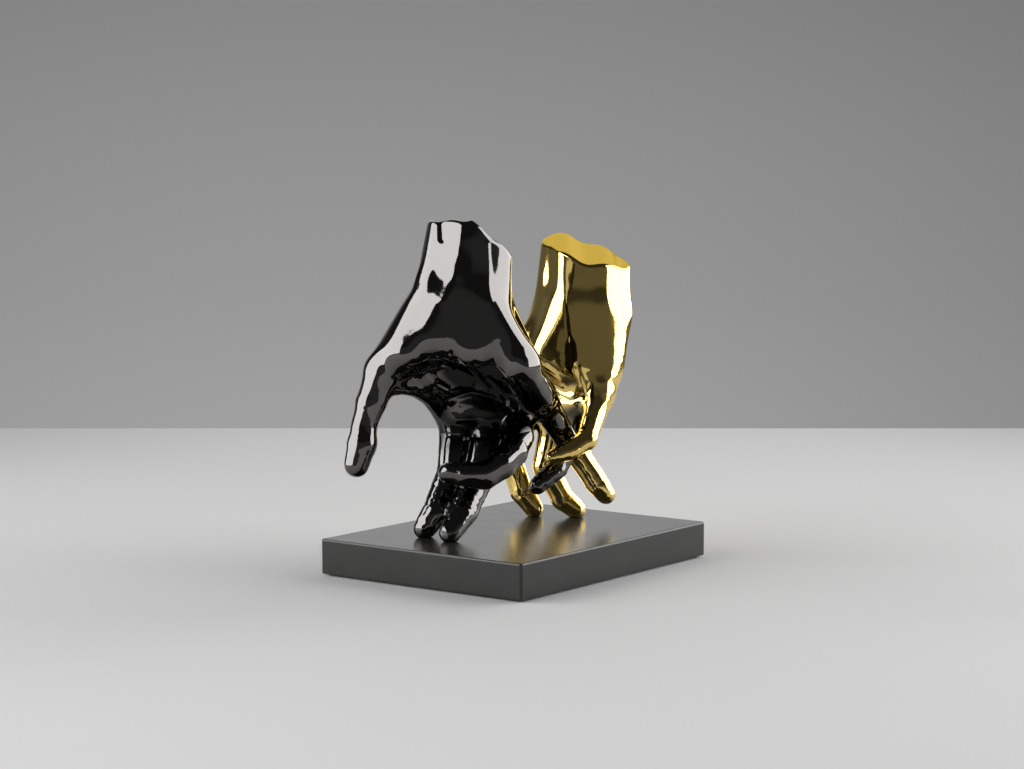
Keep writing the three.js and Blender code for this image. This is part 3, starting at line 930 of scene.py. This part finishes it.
@dataclass
class Lattice:
    """A distance kept on a lattice and read back by cubic B-splines, so that its curvature is unbroken."""

    low: np.ndarray
    pitch: float
    values: np.ndarray

    @staticmethod
    def nodes(low: np.ndarray, high: np.ndarray, pitch: float) -> np.ndarray:
        """Places of a lattice's nodes.

        Args:
            low: Lowest corner.
            high: Highest corner.
            pitch: Spacing of the nodes.

        Returns:
            Array of three counts and three coordinates.
        """
        lines = [np.arange(start, end + pitch, pitch) for start, end in zip(low, high)]
        return np.stack(np.meshgrid(*lines, indexing="ij"), axis=-1)

    @staticmethod
    def blurred(values: np.ndarray, rounds: int) -> np.ndarray:
        """Values averaged with their neighbours, as 1, 2 and 1 parts along each axis.

        Args:
            values: Values at the nodes.
            rounds: How many times.

        Returns:
            The averaged values.
        """
        for _ in range(rounds):
            for axis in range(3):
                values = 0.5 * values + 0.25 * (np.roll(values, 1, axis) + np.roll(values, -1, axis))
        return values

    @staticmethod
    def _weights(share: np.ndarray) -> list[np.ndarray]:
        """The cubic B-spline weights of the four nodes around a place between two of them.

        Args:
            share: Shares of the way between the two nodes.

        Returns:
            Four arrays, which add up to 1.
        """
        rest = 1.0 - share
        return [
            rest ** 3 / 6.0,
            (3.0 * share ** 3 - 6.0 * share ** 2 + 4.0) / 6.0,
            (3.0 * rest ** 3 - 6.0 * rest ** 2 + 4.0) / 6.0,
            share ** 3 / 6.0,
        ]

    def distance(self, points: np.ndarray) -> np.ndarray:
        """Read the distance at points: the sum of the 64 nodes around each, by its weights along the axes.

        Args:
            points: Array of points.

        Returns:
            One distance a point.
        """
        size = np.array(self.values.shape)
        spot = np.clip((points - self.low) / self.pitch, 1.0, size - SPLINE_END)
        corner = np.floor(spot).astype(int)
        across, deep, high = (self._weights(share) for share in (spot - corner).T)
        flat = self.values.ravel()
        first = np.ravel_multi_index(tuple((corner - 1).T), self.values.shape)
        total = np.zeros(len(points))
        for i in range(4):
            for j in range(4):
                row = first + (i * size[1] + j) * size[2]
                column = sum(high[k] * flat[row + k] for k in range(4))
                total += across[i] * deep[j] * column
        return total


@dataclass
class SkinMesher:
    """Meshes the zero surface of a distance: one point a crossed cell, one four-sided face a crossed edge."""

    cell: float
    coarse: int = 4
    margin: float = 1.5

    def sample(self, distance: Field, low: np.ndarray, high: np.ndarray) -> np.ndarray:
        """Sample a distance on a grid, in full only in the coarse blocks that the surface passes.

        Args:
            distance: The distance.
            low: Lowest corner of the grid.
            high: Highest corner.

        Returns:
            Values at the grid's nodes, with only their signs right away from the surface.
        """
        block = self.cell * self.coarse
        count = np.ceil((high - low) / block).astype(int)
        centres = np.stack(np.meshgrid(*[low[i] + block * (np.arange(count[i]) + 0.5) for i in range(3)],
                                       indexing="ij"), axis=-1)
        rough = distance(centres.reshape(-1, 3)).reshape(count)
        fine = rough
        for axis in range(3):
            fine = np.repeat(fine, self.coarse, axis=axis)
        near = np.abs(fine) < 0.5 * block * math.sqrt(3.0) + self.margin * self.cell
        index = np.argwhere(near)
        fine[near] = distance(low + self.cell * index)
        return fine

    def mesh(self, distance: Field, low: np.ndarray, high: np.ndarray) -> tuple[np.ndarray, np.ndarray]:
        """Mesh the surface: each cell's point is the mean of its edges' crossings.

        Args:
            distance: The distance.
            low: Lowest corner of the grid.
            high: Highest corner.

        Returns:
            Points and four-sided faces that point outwards.
        """
        values = self.sample(distance, low, high)
        size = np.array(values.shape)
        cells = tuple(size - 1)
        total = np.zeros((*cells, 3))
        crossings = np.zeros(cells)
        corners = [np.array(c) for c in np.ndindex(2, 2, 2)]
        for corner in corners:
            for axis in np.flatnonzero(corner == 0):
                ahead = corner.copy()
                ahead[axis] = 1
                here = values[tuple(slice(c, c + n) for c, n in zip(corner, cells))]
                there = values[tuple(slice(c, c + n) for c, n in zip(ahead, cells))]
                crossed = (here < 0) != (there < 0)
                share = np.where(crossed, here / np.where(crossed, here - there, 1.0), 0.0)
                total += crossed[..., None] * corner
                total[..., axis] += share
                crossings += crossed
        crossed = crossings > 0
        number = np.full(cells, -1)
        number[crossed] = np.arange(np.count_nonzero(crossed))
        points = low + self.cell * (np.argwhere(crossed) + total[crossed] / crossings[crossed][:, None])
        return points, np.concatenate([self._faces(values < 0, number, axis) for axis in range(3)])

    @staticmethod
    def _faces(inside: np.ndarray, number: np.ndarray, axis: int) -> np.ndarray:
        """Faces round the crossed grid edges along one axis.

        Args:
            inside: Whether each node is inside.
            number: Point number of each cell.
            axis: The axis.

        Returns:
            Rows of four point numbers.
        """
        size = inside.shape[axis]
        here = np.take(inside, np.arange(size - 1), axis=axis)
        there = np.take(inside, np.arange(1, size), axis=axis)
        edges = np.argwhere(here != there)
        leaving = here[here != there]
        u, w = (axis + 1) % 3, (axis + 2) % 3
        ring = []
        for du, dw in ((1, 1), (0, 1), (0, 0), (1, 0)):
            cell = edges.copy()
            cell[:, u] -= du
            cell[:, w] -= dw
            ring.append(number[tuple(cell.T)])
        faces = np.stack(ring, axis=1)
        faces[~leaving] = faces[~leaving][:, ::-1]
        return faces


# Probes of a gradient: half the side of their cube in millimetres, and the corners that are probed
PROBE = 0.05
PROBE_CORNERS = np.array([[1, -1, -1], [-1, -1, 1], [-1, 1, -1], [1, 1, 1]], dtype=float)

# Least square of a gradient that a Newton step is divided by
LEAST_STEEPNESS = 0.25


def slope(distance: Field, points: np.ndarray) -> tuple[np.ndarray, np.ndarray]:
    """Value and gradient of a distance from four probes at the corners of a small tetrahedron.

    Args:
        distance: The distance.
        points: Where to probe.

    Returns:
        Values and gradients, one row a point.
    """
    probes = [distance(points + PROBE * corner) for corner in PROBE_CORNERS]
    gradient = sum(value[:, None] * corner for value, corner in zip(probes, PROBE_CORNERS)) / (4.0 * PROBE)
    return sum(probes) / 4.0, gradient


def project(distance: Field, points: np.ndarray, limit: float) -> tuple[np.ndarray, np.ndarray]:
    """Move points on to the zero surface by one Newton step.

    Args:
        distance: The distance.
        points: The points.
        limit: Longest step.

    Returns:
        The moved points, and the outward directions there.
    """
    value, gradient = slope(distance, points)
    steepness = np.maximum(np.sum(gradient * gradient, axis=1), LEAST_STEEPNESS)
    step = np.clip(value, -limit, limit) / steepness
    return points - step[:, None] * gradient, unit(gradient)


def relax(points: np.ndarray, faces: np.ndarray, pull: float) -> np.ndarray:
    """Draw each point towards the mean of its neighbours along the faces' edges.

    Args:
        points: The points.
        faces: Four-sided faces.
        pull: Share of the way.

    Returns:
        The moved points.
    """
    size = len(points)
    start = faces.ravel()
    end = np.roll(faces, -1, axis=1).ravel()
    count = np.bincount(start, minlength=size) + np.bincount(end, minlength=size)
    totals = [np.bincount(start, line[end], size) + np.bincount(end, line[start], size) for line in points.T]
    mean = np.stack(totals, axis=1) / count[:, None]
    return points + pull * (mean - points)


@dataclass
class Hand:
    """One hand casting: a skin blended round its skeleton, cut at the wrist and flat under two fingertips.

    Lengths are in millimetres, and the lattice's margin and the mesh's inset count its nodes.
    """

    name: str
    node: str
    slot: str
    pose: HandPose
    finish: MirrorPlate
    cell: float = 1.15
    phalanx_blend: float = 2.5
    knuckle_blend: float = 7.0
    digit_blend: float = 2.0
    palm_blend: float = 10.0
    web_share: float = 0.2
    web_radius: float = 7.0
    ground_gap: float = 0.05
    ground_edge: float = 0.5
    bore_radius: float = 2.8
    bore_depth: float = 9.3
    neighbour: Hand | None = None
    neighbour_gap: float = 0.6
    even_rounds: int = 2
    even_pull: float = 0.5
    relief_steps: int = 5
    digit_reach: float = 4.0
    pitch: float = 3.0
    lattice_margin: int = 4
    mesh_inset: int = 2
    share_rounds: int = 2
    palm_rounds: int = 5
    palm_swell: float = 0.6
    palm_from: float = -2.0
    palm_to: float = 10.0
    still_height: float = 0.012
    ripple_height: float = 0.11
    ripple_length: float = 15.0
    gnarl_height: float = 0.28
    gnarl_length: float = 11.0
    gnarl_fade: tuple[float, float] = (40.0, 60.0)
    bare_rim: tuple[float, float] = (0.5, 2.5)
    # Openness, which sets the painted shade in the plating's recesses: reach ahead of the skin, its range,
    # and the heights below which the free fingers stay unshaded
    open_reach: float = 38.0
    open_range: tuple[float, float] = (0.5, 0.9)
    free_range: tuple[float, float] = (60.0, 80.0)
    low: np.ndarray = field(init=False, repr=False)
    high: np.ndarray = field(init=False, repr=False)
    lattice: Lattice = field(init=False, repr=False)

    def palm_bones(self) -> list[np.ndarray]:
        """Bones of the forearm, the palm and the webs between the fingers.

        Returns:
            The bones in the order of blending.
        """
        pose = self.pose
        metacarpals = [np.array([row, pose.digits[digit].joints[0]]) for digit, row in pose.carpals.items()]
        pads = [np.array(bone) for bone in pose.palm.values()]
        firsts = [pose.digits[digit].rows[:2] for digit in FINGERS]
        ends = np.array([first[0] + self.web_share * (first[1] - first[0]) for first in firsts])
        ends[:, 3] = self.web_radius
        return [np.array(bone) for bone in pose.forearm] + metacarpals + pads + links(ends)

    def digit_distance(self, points: np.ndarray, digit: Digit) -> np.ndarray:
        """Distance to one digit alone."""
        return blended_bones(points, links(self.pose.digits[digit].rows), self.phalanx_blend)

    def palm_and_fan(self, points: np.ndarray) -> tuple[np.ndarray, np.ndarray]:
        """Distances to the palm and to the fan of digits.

        Args:
            points: Array of points.

        Returns:
            One distance of each kind a point.
        """
        palm = blended_bones(points, self.palm_bones(), self.palm_blend)
        digits = (self.digit_distance(points, digit) for digit in Digit)
        return palm, reduce(lambda a, b: blend(a, b, self.digit_blend), digits)

    def openness(self, points: np.ndarray, facing: np.ndarray) -> np.ndarray:
        """How open the space before the skin is: the distance a reach ahead of it, over that reach.

        Args:
            points: Points of the skin.
            facing: The skin's outward directions there.

        Returns:
            One share a point, from 0 in a narrow recess to 1 on an open side and on the free fingers.
        """
        # This share sets the painted shade of the plating's recesses
        ahead = points + self.open_reach * facing
        cast = np.maximum(blend(*self.palm_and_fan(ahead), self.knuckle_blend), self.pose.cut.distance(ahead))
        free = 1.0 - smooth_step(points[:, 2], *self.free_range)
        return np.maximum(smooth_step(cast / self.open_reach, *self.open_range), free)

    def soften(self) -> None:
        """Work out the bare skin on a lattice: digits filleted into the palm, and the palm blurred."""
        bones = np.concatenate([*self.palm_bones(), *[finger.rows for finger in self.pose.digits.values()]])
        margin = bones[:, 3:] + self.lattice_margin * self.pitch
        self.low, self.high = (bones[:, :3] - margin).min(axis=0), (bones[:, :3] + margin).max(axis=0)
        nodes = Lattice.nodes(self.low, self.high, self.pitch)
        points = nodes.reshape(-1, 3)
        palm, fan = self.palm_and_fan(points)
        sharp = blend(palm, fan, self.knuckle_blend).reshape(nodes.shape[:3])
        share = smooth_step(fan - palm, self.palm_from, self.palm_to).reshape(nodes.shape[:3])
        soft = Lattice.blurred(sharp, self.palm_rounds) - self.palm_swell
        share = Lattice.blurred(share, self.share_rounds)
        self.lattice = Lattice(self.low, self.pitch, sharp + share * (soft - sharp))

    def skin(self, points: np.ndarray) -> np.ndarray:
        """Distance to the bare skin, before its cuts."""
        return self.lattice.distance(points)

    def cut(self, points: np.ndarray, skin: np.ndarray) -> np.ndarray:
        """Cut a skin at the wrist, the ground, the stud bores and the neighbouring hand.

        Args:
            points: Array of points.
            skin: Distances to the skin there.

        Returns:
            Distances to the cut casting.
        """
        cast = carve(skin, self.pose.cut.distance(points), self.pose.cut.edge)
        cast = carve(cast, self.ground_gap - points[:, 2], self.ground_edge)
        for right, back, *_ in self.pose.feet():
            bore = np.hypot(points[:, 0] - right, points[:, 1] - back) - self.bore_radius
            cast = np.maximum(cast, -np.maximum(bore, points[:, 2] - self.bore_depth))
        if self.neighbour is not None:
            cast = np.maximum(cast, self.neighbour_gap - self.neighbour.skin(points))
        return cast

    def relief(self, points: np.ndarray, facing: np.ndarray) -> np.ndarray:
        """Height of ripples, folds, tendons, creases, pads and nails over the bare skin.

        Args:
            points: Array of points.
            facing: The bare skin's outward directions there.

        Returns:
            One height a point.
        """
        hollow = smooth_step(self.pose.ripple_top - points[:, 2], 0.0, self.pose.ripple_fade)
        height = (self.still_height + self.ripple_height * hollow) * ripple(points, self.ripple_length)
        low = 1.0 - smooth_step(points[:, 2], *self.gnarl_fade)
        height += self.gnarl_height * low * ripple(points, self.gnarl_length)
        for fold in (*self.pose.folds, *self.pose.tendons()):
            height += fold.relief(points, facing)
        for digit, finger in self.pose.digits.items():
            own = self.digit_distance(points, digit)
            near = np.flatnonzero(own < self.digit_reach)
            height[near] += finger.relief(points[near], facing[near], own[near])
        return height

    def surface(self) -> tuple[np.ndarray, np.ndarray, np.ndarray]:
        """Mesh the casting: bare first, evened out, and then moved on to its relief.

        Returns:
            Points in the pair's frame, the bare skin's outward directions there and four-sided faces.
        """
        self.soften()

        def bare(points: np.ndarray) -> np.ndarray:
            """Distance to the cut casting without relief."""
            return self.cut(points, self.skin(points))

        inset = self.mesh_inset * self.pitch
        points, faces = SkinMesher(self.cell).mesh(bare, self.low + inset, self.high - inset)
        for _ in range(self.even_rounds):
            points, facing = project(bare, relax(points, faces, self.even_pull), self.cell)

        def raised(spots: np.ndarray) -> np.ndarray:
            """Distance to the cut casting with its relief."""
            return self.cut(spots, self.skin(spots) - self.relief(spots, facing))

        for _ in range(self.relief_steps):
            points, _ = project(raised, points, self.cell)
        return points, facing, faces

    def build(self) -> bpy.types.Object:
        """Make the hand's piece and let it stand for its solid.

        Returns:
            The piece.
        """
        points, facing, faces = self.surface()
        piece = make_piece(self.name, place(points), faces, self.finish.material())
        lacquered = smooth_step(np.abs(self.pose.cut.distance(points)), *self.bare_rim)
        # How open the skin is sets the plating's painted shade in its recesses
        shares = {self.finish.coat_share: lacquered, self.finish.unshaded_share: self.openness(points, facing)}
        for name, values in shares.items():
            kept = piece.data.attributes.new(name, "FLOAT", "POINT")
            kept.data.foreach_set("value", values.astype(np.float32))
        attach(piece, BODY)
        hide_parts(self.node)
        LOG.info("%s: %d points, %d faces", self.name, len(points), len(faces))
        return piece


@dataclass
class FeltSheet:
    """Felt glued under the plinth: a rectangle with round corners and soft edges, in metres."""

    width: float = 0.192
    length: float = 0.252
    thickness: float = 0.0015
    corner: float = 0.0025
    around: int = 160
    edge_rings: int = 7
    inner_rings: int = 10
    inner_share: float = 0.9

    def outline(self, inset: float) -> np.ndarray:
        """Rounded rectangle: a circle of directions, each pushed out to the straight sides' corner centres.

        Args:
            inset: How far the outline lies inside the sheet's edge.

        Returns:
            One row of x and y a direction.
        """
        angle = 2.0 * math.pi * (np.arange(self.around) + 0.5) / self.around
        way = np.stack([np.cos(angle), np.sin(angle)], axis=1)
        centre = np.array([0.5 * self.width, 0.5 * self.length]) - self.corner
        return np.sign(way) * centre + (self.corner - inset) * way

    def build(self) -> bpy.types.Object:
        """Make the sheet as rings from the middle of its top, round its edge, to the middle of its underside.

        Returns:
            The piece.
        """
        rim = 0.5 * self.thickness
        rings = []
        for turn in np.linspace(0.5 * math.pi, -0.5 * math.pi, self.edge_rings):
            height = np.full(self.around, rim * (1.0 + math.sin(turn)))
            rings.append(np.column_stack([self.outline(rim * (1.0 - math.cos(turn))), height]))
        shares = np.linspace(0.0, self.inner_share, self.inner_rings)
        inner_top = [rings[0] * (share, share, 1.0) for share in shares]
        inner_bottom = [rings[-1] * (share, share, 1.0) for share in shares[::-1]]
        grid = np.concatenate([inner_top, rings, inner_bottom])
        points = grid.reshape(-1, 3)
        row = np.arange(len(grid) - 1)[:, None] * self.around
        here = np.arange(self.around)[None, :]
        ahead = (here + 1) % self.around
        below = row + self.around
        faces = np.stack([row + here, below + here, below + ahead, row + ahead], axis=-1)
        piece = make_piece("felt_sheet", points, faces.reshape(-1, 4), BLACK_FELT.material())
        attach(piece, BODY)
        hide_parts("felt")
        LOG.info("felt_sheet: %d points", len(points))
        return piece


@dataclass
class CarriedSolids:
    """CAD solids that stay in sight and get a finish: the plinth and the fasteners under it."""

    fasteners: tuple[str, ...] = ("stud", "washer", "nut")

    def dress(self) -> None:
        """Give each solid its material."""
        lacquer = BLACK_LACQUER.material()
        zinc = ZINC_STEEL.material()
        for name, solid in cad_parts.items():
            if name == "plinth":
                self._assign(solid, lacquer)
            elif name.split("_")[0] in self.fasteners:
                self._assign(solid, zinc)

    @staticmethod
    def _assign(solid: bpy.types.Object, material: bpy.types.Material) -> None:
        """Put one material in all of a solid's slots.

        Args:
            solid: The solid.
            material: Its material.
        """
        for slot in solid.material_slots:
            slot.material = material
        LOG.info("%s: %s", solid.name, material.name)


@dataclass(frozen=True)
class Softbox:
    """A rectangular studio lamp: place and aim in the view's frame in metres, and radiance."""

    name: str
    spot: tuple[float, float, float]
    aim: tuple[float, float, float]
    width: float
    height: float
    radiance: float

    def light(self) -> None:
        """Hang the lamp: an area light whose power is its radiance times pi times its area."""
        lamp = bpy.data.lights.new(self.name, "AREA")
        lamp.shape = "RECTANGLE"
        lamp.size = self.width
        lamp.size_y = self.height
        lamp.energy = self.radiance * math.pi * self.width * self.height
        hung = bpy.data.objects.new(self.name, lamp)
        here, there = view_point(self.spot), view_point(self.aim)
        hung.location = here
        hung.rotation_euler = (Vector(there) - Vector(here)).to_track_quat("-Z", "Y").to_euler()
        hung.visible_camera = False
        bpy.context.scene.collection.objects.link(hung)


def view_point(spot: tuple[float, float, float]) -> tuple[float, float, float]:
    """Turn a point of the view's frame to the figurine's frame.

    Args:
        spot: Right, back and up in metres.

    Returns:
        The point in the figurine's frame.
    """
    across, along = math.cos(math.radians(PAIR_TURN)), math.sin(math.radians(PAIR_TURN))
    right, back, up = spot
    return (across * right - along * back, along * right + across * back, up)


@dataclass
class Studio:
    """Table, backdrop glow, softboxes and camera, with lengths in metres and angles in degrees."""

    table_back: float = 0.97
    table_front: float = -0.75
    table_side: float = 1.15
    table_lines: int = 9
    table_grey: float = 0.55
    table_haze: float = 0.8
    table_shine: float = 0.2
    drift_scale: float = 3.0
    drift_share: float = 0.02
    # Painted light on the table: its grey level, its fall towards the sides and towards the back right and
    # front left, and its rise in front of front_from
    grey_level: float = 1.1
    grey_sides: float = -0.5
    grey_corner: float = -0.58
    grey_front: float = 0.65
    front_from: float = 0.2
    backdrop_turn: float = 4.0
    backdrop_power: float = 10.0
    backdrop_greys: tuple[tuple[float, float], ...] = (
        (0.0, 0.36), (0.395, 0.33), (0.443, 0.266), (0.468, 0.213), (0.53, 0.133), (0.55, 0.75), (0.64, 1.05),
        (0.72, 0.45), (0.8, 0.0))
    room_greys: tuple[tuple[float, float], ...] = ((0.38, 0.1), (0.5, 0.11), (0.59, 0.1), (0.66, 0.035))
    camera_spot: tuple[float, float, float] = (1.184659, -1.602283, 0.348063)
    camera_pitch: float = 5.6787
    lens: float = 86.29
    sensor: float = 36.0
    boxes: tuple[Softbox, ...] = field(default_factory=lambda: (
        Softbox("left_scrim", (-1.2, -0.54, 0.66), (0.0, -0.54, 0.66), 1.92, 1.24, 4.3),
        Softbox("right_scrim", (1.2, 0.75, 0.66), (0.0, 0.75, 0.66), 2.5, 1.24, 4.2),
        Softbox("top_panel", (0.0, 1.1, 1.15), (0.0, 0.0, 0.2), 1.8, 0.9, 0.65),
    ))

    def build(self) -> None:
        """Set up the table, the world, the lamps and the camera."""
        self._table()
        self._world()
        for box in self.boxes:
            box.light()
        self._camera()
        bpy.context.scene.view_settings.view_transform = "Standard"

    def _table(self) -> None:
        """Lay the pale table: a flat grid from its back edge to far in front, its grey painted lighter
        towards the front and darker towards the sides to even out the lamps' light.
        """
        material, graph = new_graph("pale_table")
        spot = graph.node("ShaderNodeTexCoord", output="Object")
        turned = graph.node("ShaderNodeVectorRotate", {"rotation_type": "Z_AXIS"},
                            {"Vector": spot, "Angle": -math.radians(PAIR_TURN)})
        right = graph.node("ShaderNodeSeparateXYZ", {}, {0: turned}, "X")
        back = graph.node("ShaderNodeSeparateXYZ", {}, {0: turned}, "Y")
        # Painted light: the grey rises towards the front and falls towards the sides, the back right and the
        # front left, evening out the lamps' light on the table
        front = graph.node("ShaderNodeMath", {"operation": "MAXIMUM"}, {0: -self.front_from - back, 1: 0.0})
        level = self.grey_level + self.grey_sides * (right * right) + self.grey_corner * (right * back)
        level = level + self.grey_front * front
        drift = graph.noise(self.drift_scale, detail=2.0)
        graph.surface(
            Base_Color=self.table_grey * level + self.drift_share * drift,
            Roughness=self.table_haze,
            Specular_IOR_Level=self.table_shine,
        )
        points, faces = self._table_grid()
        make_piece("table", points, faces, material)

    def _table_grid(self) -> tuple[np.ndarray, np.ndarray]:
        """Points and four-sided faces of the table's grid.

        Returns:
            Points in metres, one row each, and rows of four point numbers.
        """
        count = self.table_lines
        lines = np.linspace(-1.0, 1.0, count)
        middle, half = 0.5 * (self.table_back + self.table_front), 0.5 * (self.table_back - self.table_front)
        right, back = np.meshgrid(self.table_side * lines, middle + half * lines, indexing="ij")
        points = place(np.stack([right.ravel(), back.ravel(), np.zeros(right.size)], axis=1) / MM)
        points[:, 2] = 0.0
        here = (np.arange(count - 1)[:, None] * count + np.arange(count - 1)[None, :]).ravel()
        return points, np.stack([here, here + count, here + count + 1, here + 1], axis=1)

    def _world(self) -> None:
        """Light the room: dim all round, with a grey glow on the backdrop that fades upwards and sideways.

        Above the picture the backdrop is brighter, which the plinth's top mirrors.
        """
        world = bpy.data.worlds.new("studio")
        world.use_nodes = True
        bpy.context.scene.world = world
        graph = Graph(world.node_tree)
        way = graph.node("ShaderNodeTexCoord", output="Generated")
        turn = math.radians(PAIR_TURN + self.backdrop_turn)
        centre = (-math.sin(turn), math.cos(turn), 0.0)
        ahead = graph.node("ShaderNodeVectorMath", {"operation": "DOT_PRODUCT"}, {0: way, 1: centre}, "Value")
        facing = graph.node("ShaderNodeMath", {"operation": "MAXIMUM"}, {0: ahead, 1: 0.0})
        up = 0.5 * graph.node("ShaderNodeSeparateXYZ", {}, {0: way}, "Z") + 0.5
        backdrop = graph.node("ShaderNodeValToRGB", {"stops": self.backdrop_greys}, {0: up})
        room = graph.node("ShaderNodeValToRGB", {"stops": self.room_greys}, {0: up})
        level = room + facing ** self.backdrop_power * backdrop
        shader = graph.node("ShaderNodeBackground", {}, {"Color": level, "Strength": 1.0})
        graph.node("ShaderNodeOutputWorld", {}, {"Surface": shader})

    def _camera(self) -> None:
        """Set the camera at the photograph's angle."""
        lens = bpy.data.cameras.new("camera")
        lens.lens = self.lens
        lens.sensor_width = self.sensor
        camera = bpy.data.objects.new("camera", lens)
        camera.location = self.camera_spot
        camera.rotation_euler = (math.radians(90.0 - self.camera_pitch), 0.0, math.radians(PAIR_TURN))
        bpy.context.scene.collection.objects.link(camera)
        bpy.context.scene.camera = camera


def main() -> None:
    """Build the figurine's pieces and the studio."""
    logging.basicConfig(level=logging.INFO, format="%(name)s %(message)s")
    Studio().build()
    dark = Hand("dark_hand_casting", "dark_hand", "dark_mirror", DARK_POSE, DARK_MIRROR)
    gold = Hand("gold_hand_casting", "gold_hand", "gold_mirror", GOLD_POSE, GOLD_MIRROR,
                cell=1.0, neighbour=dark, gnarl_height=0.06)
    dark.build()
    gold.build()
    FeltSheet().build()
    CarriedSolids().dress()


if __name__ == "__main__":
    main()
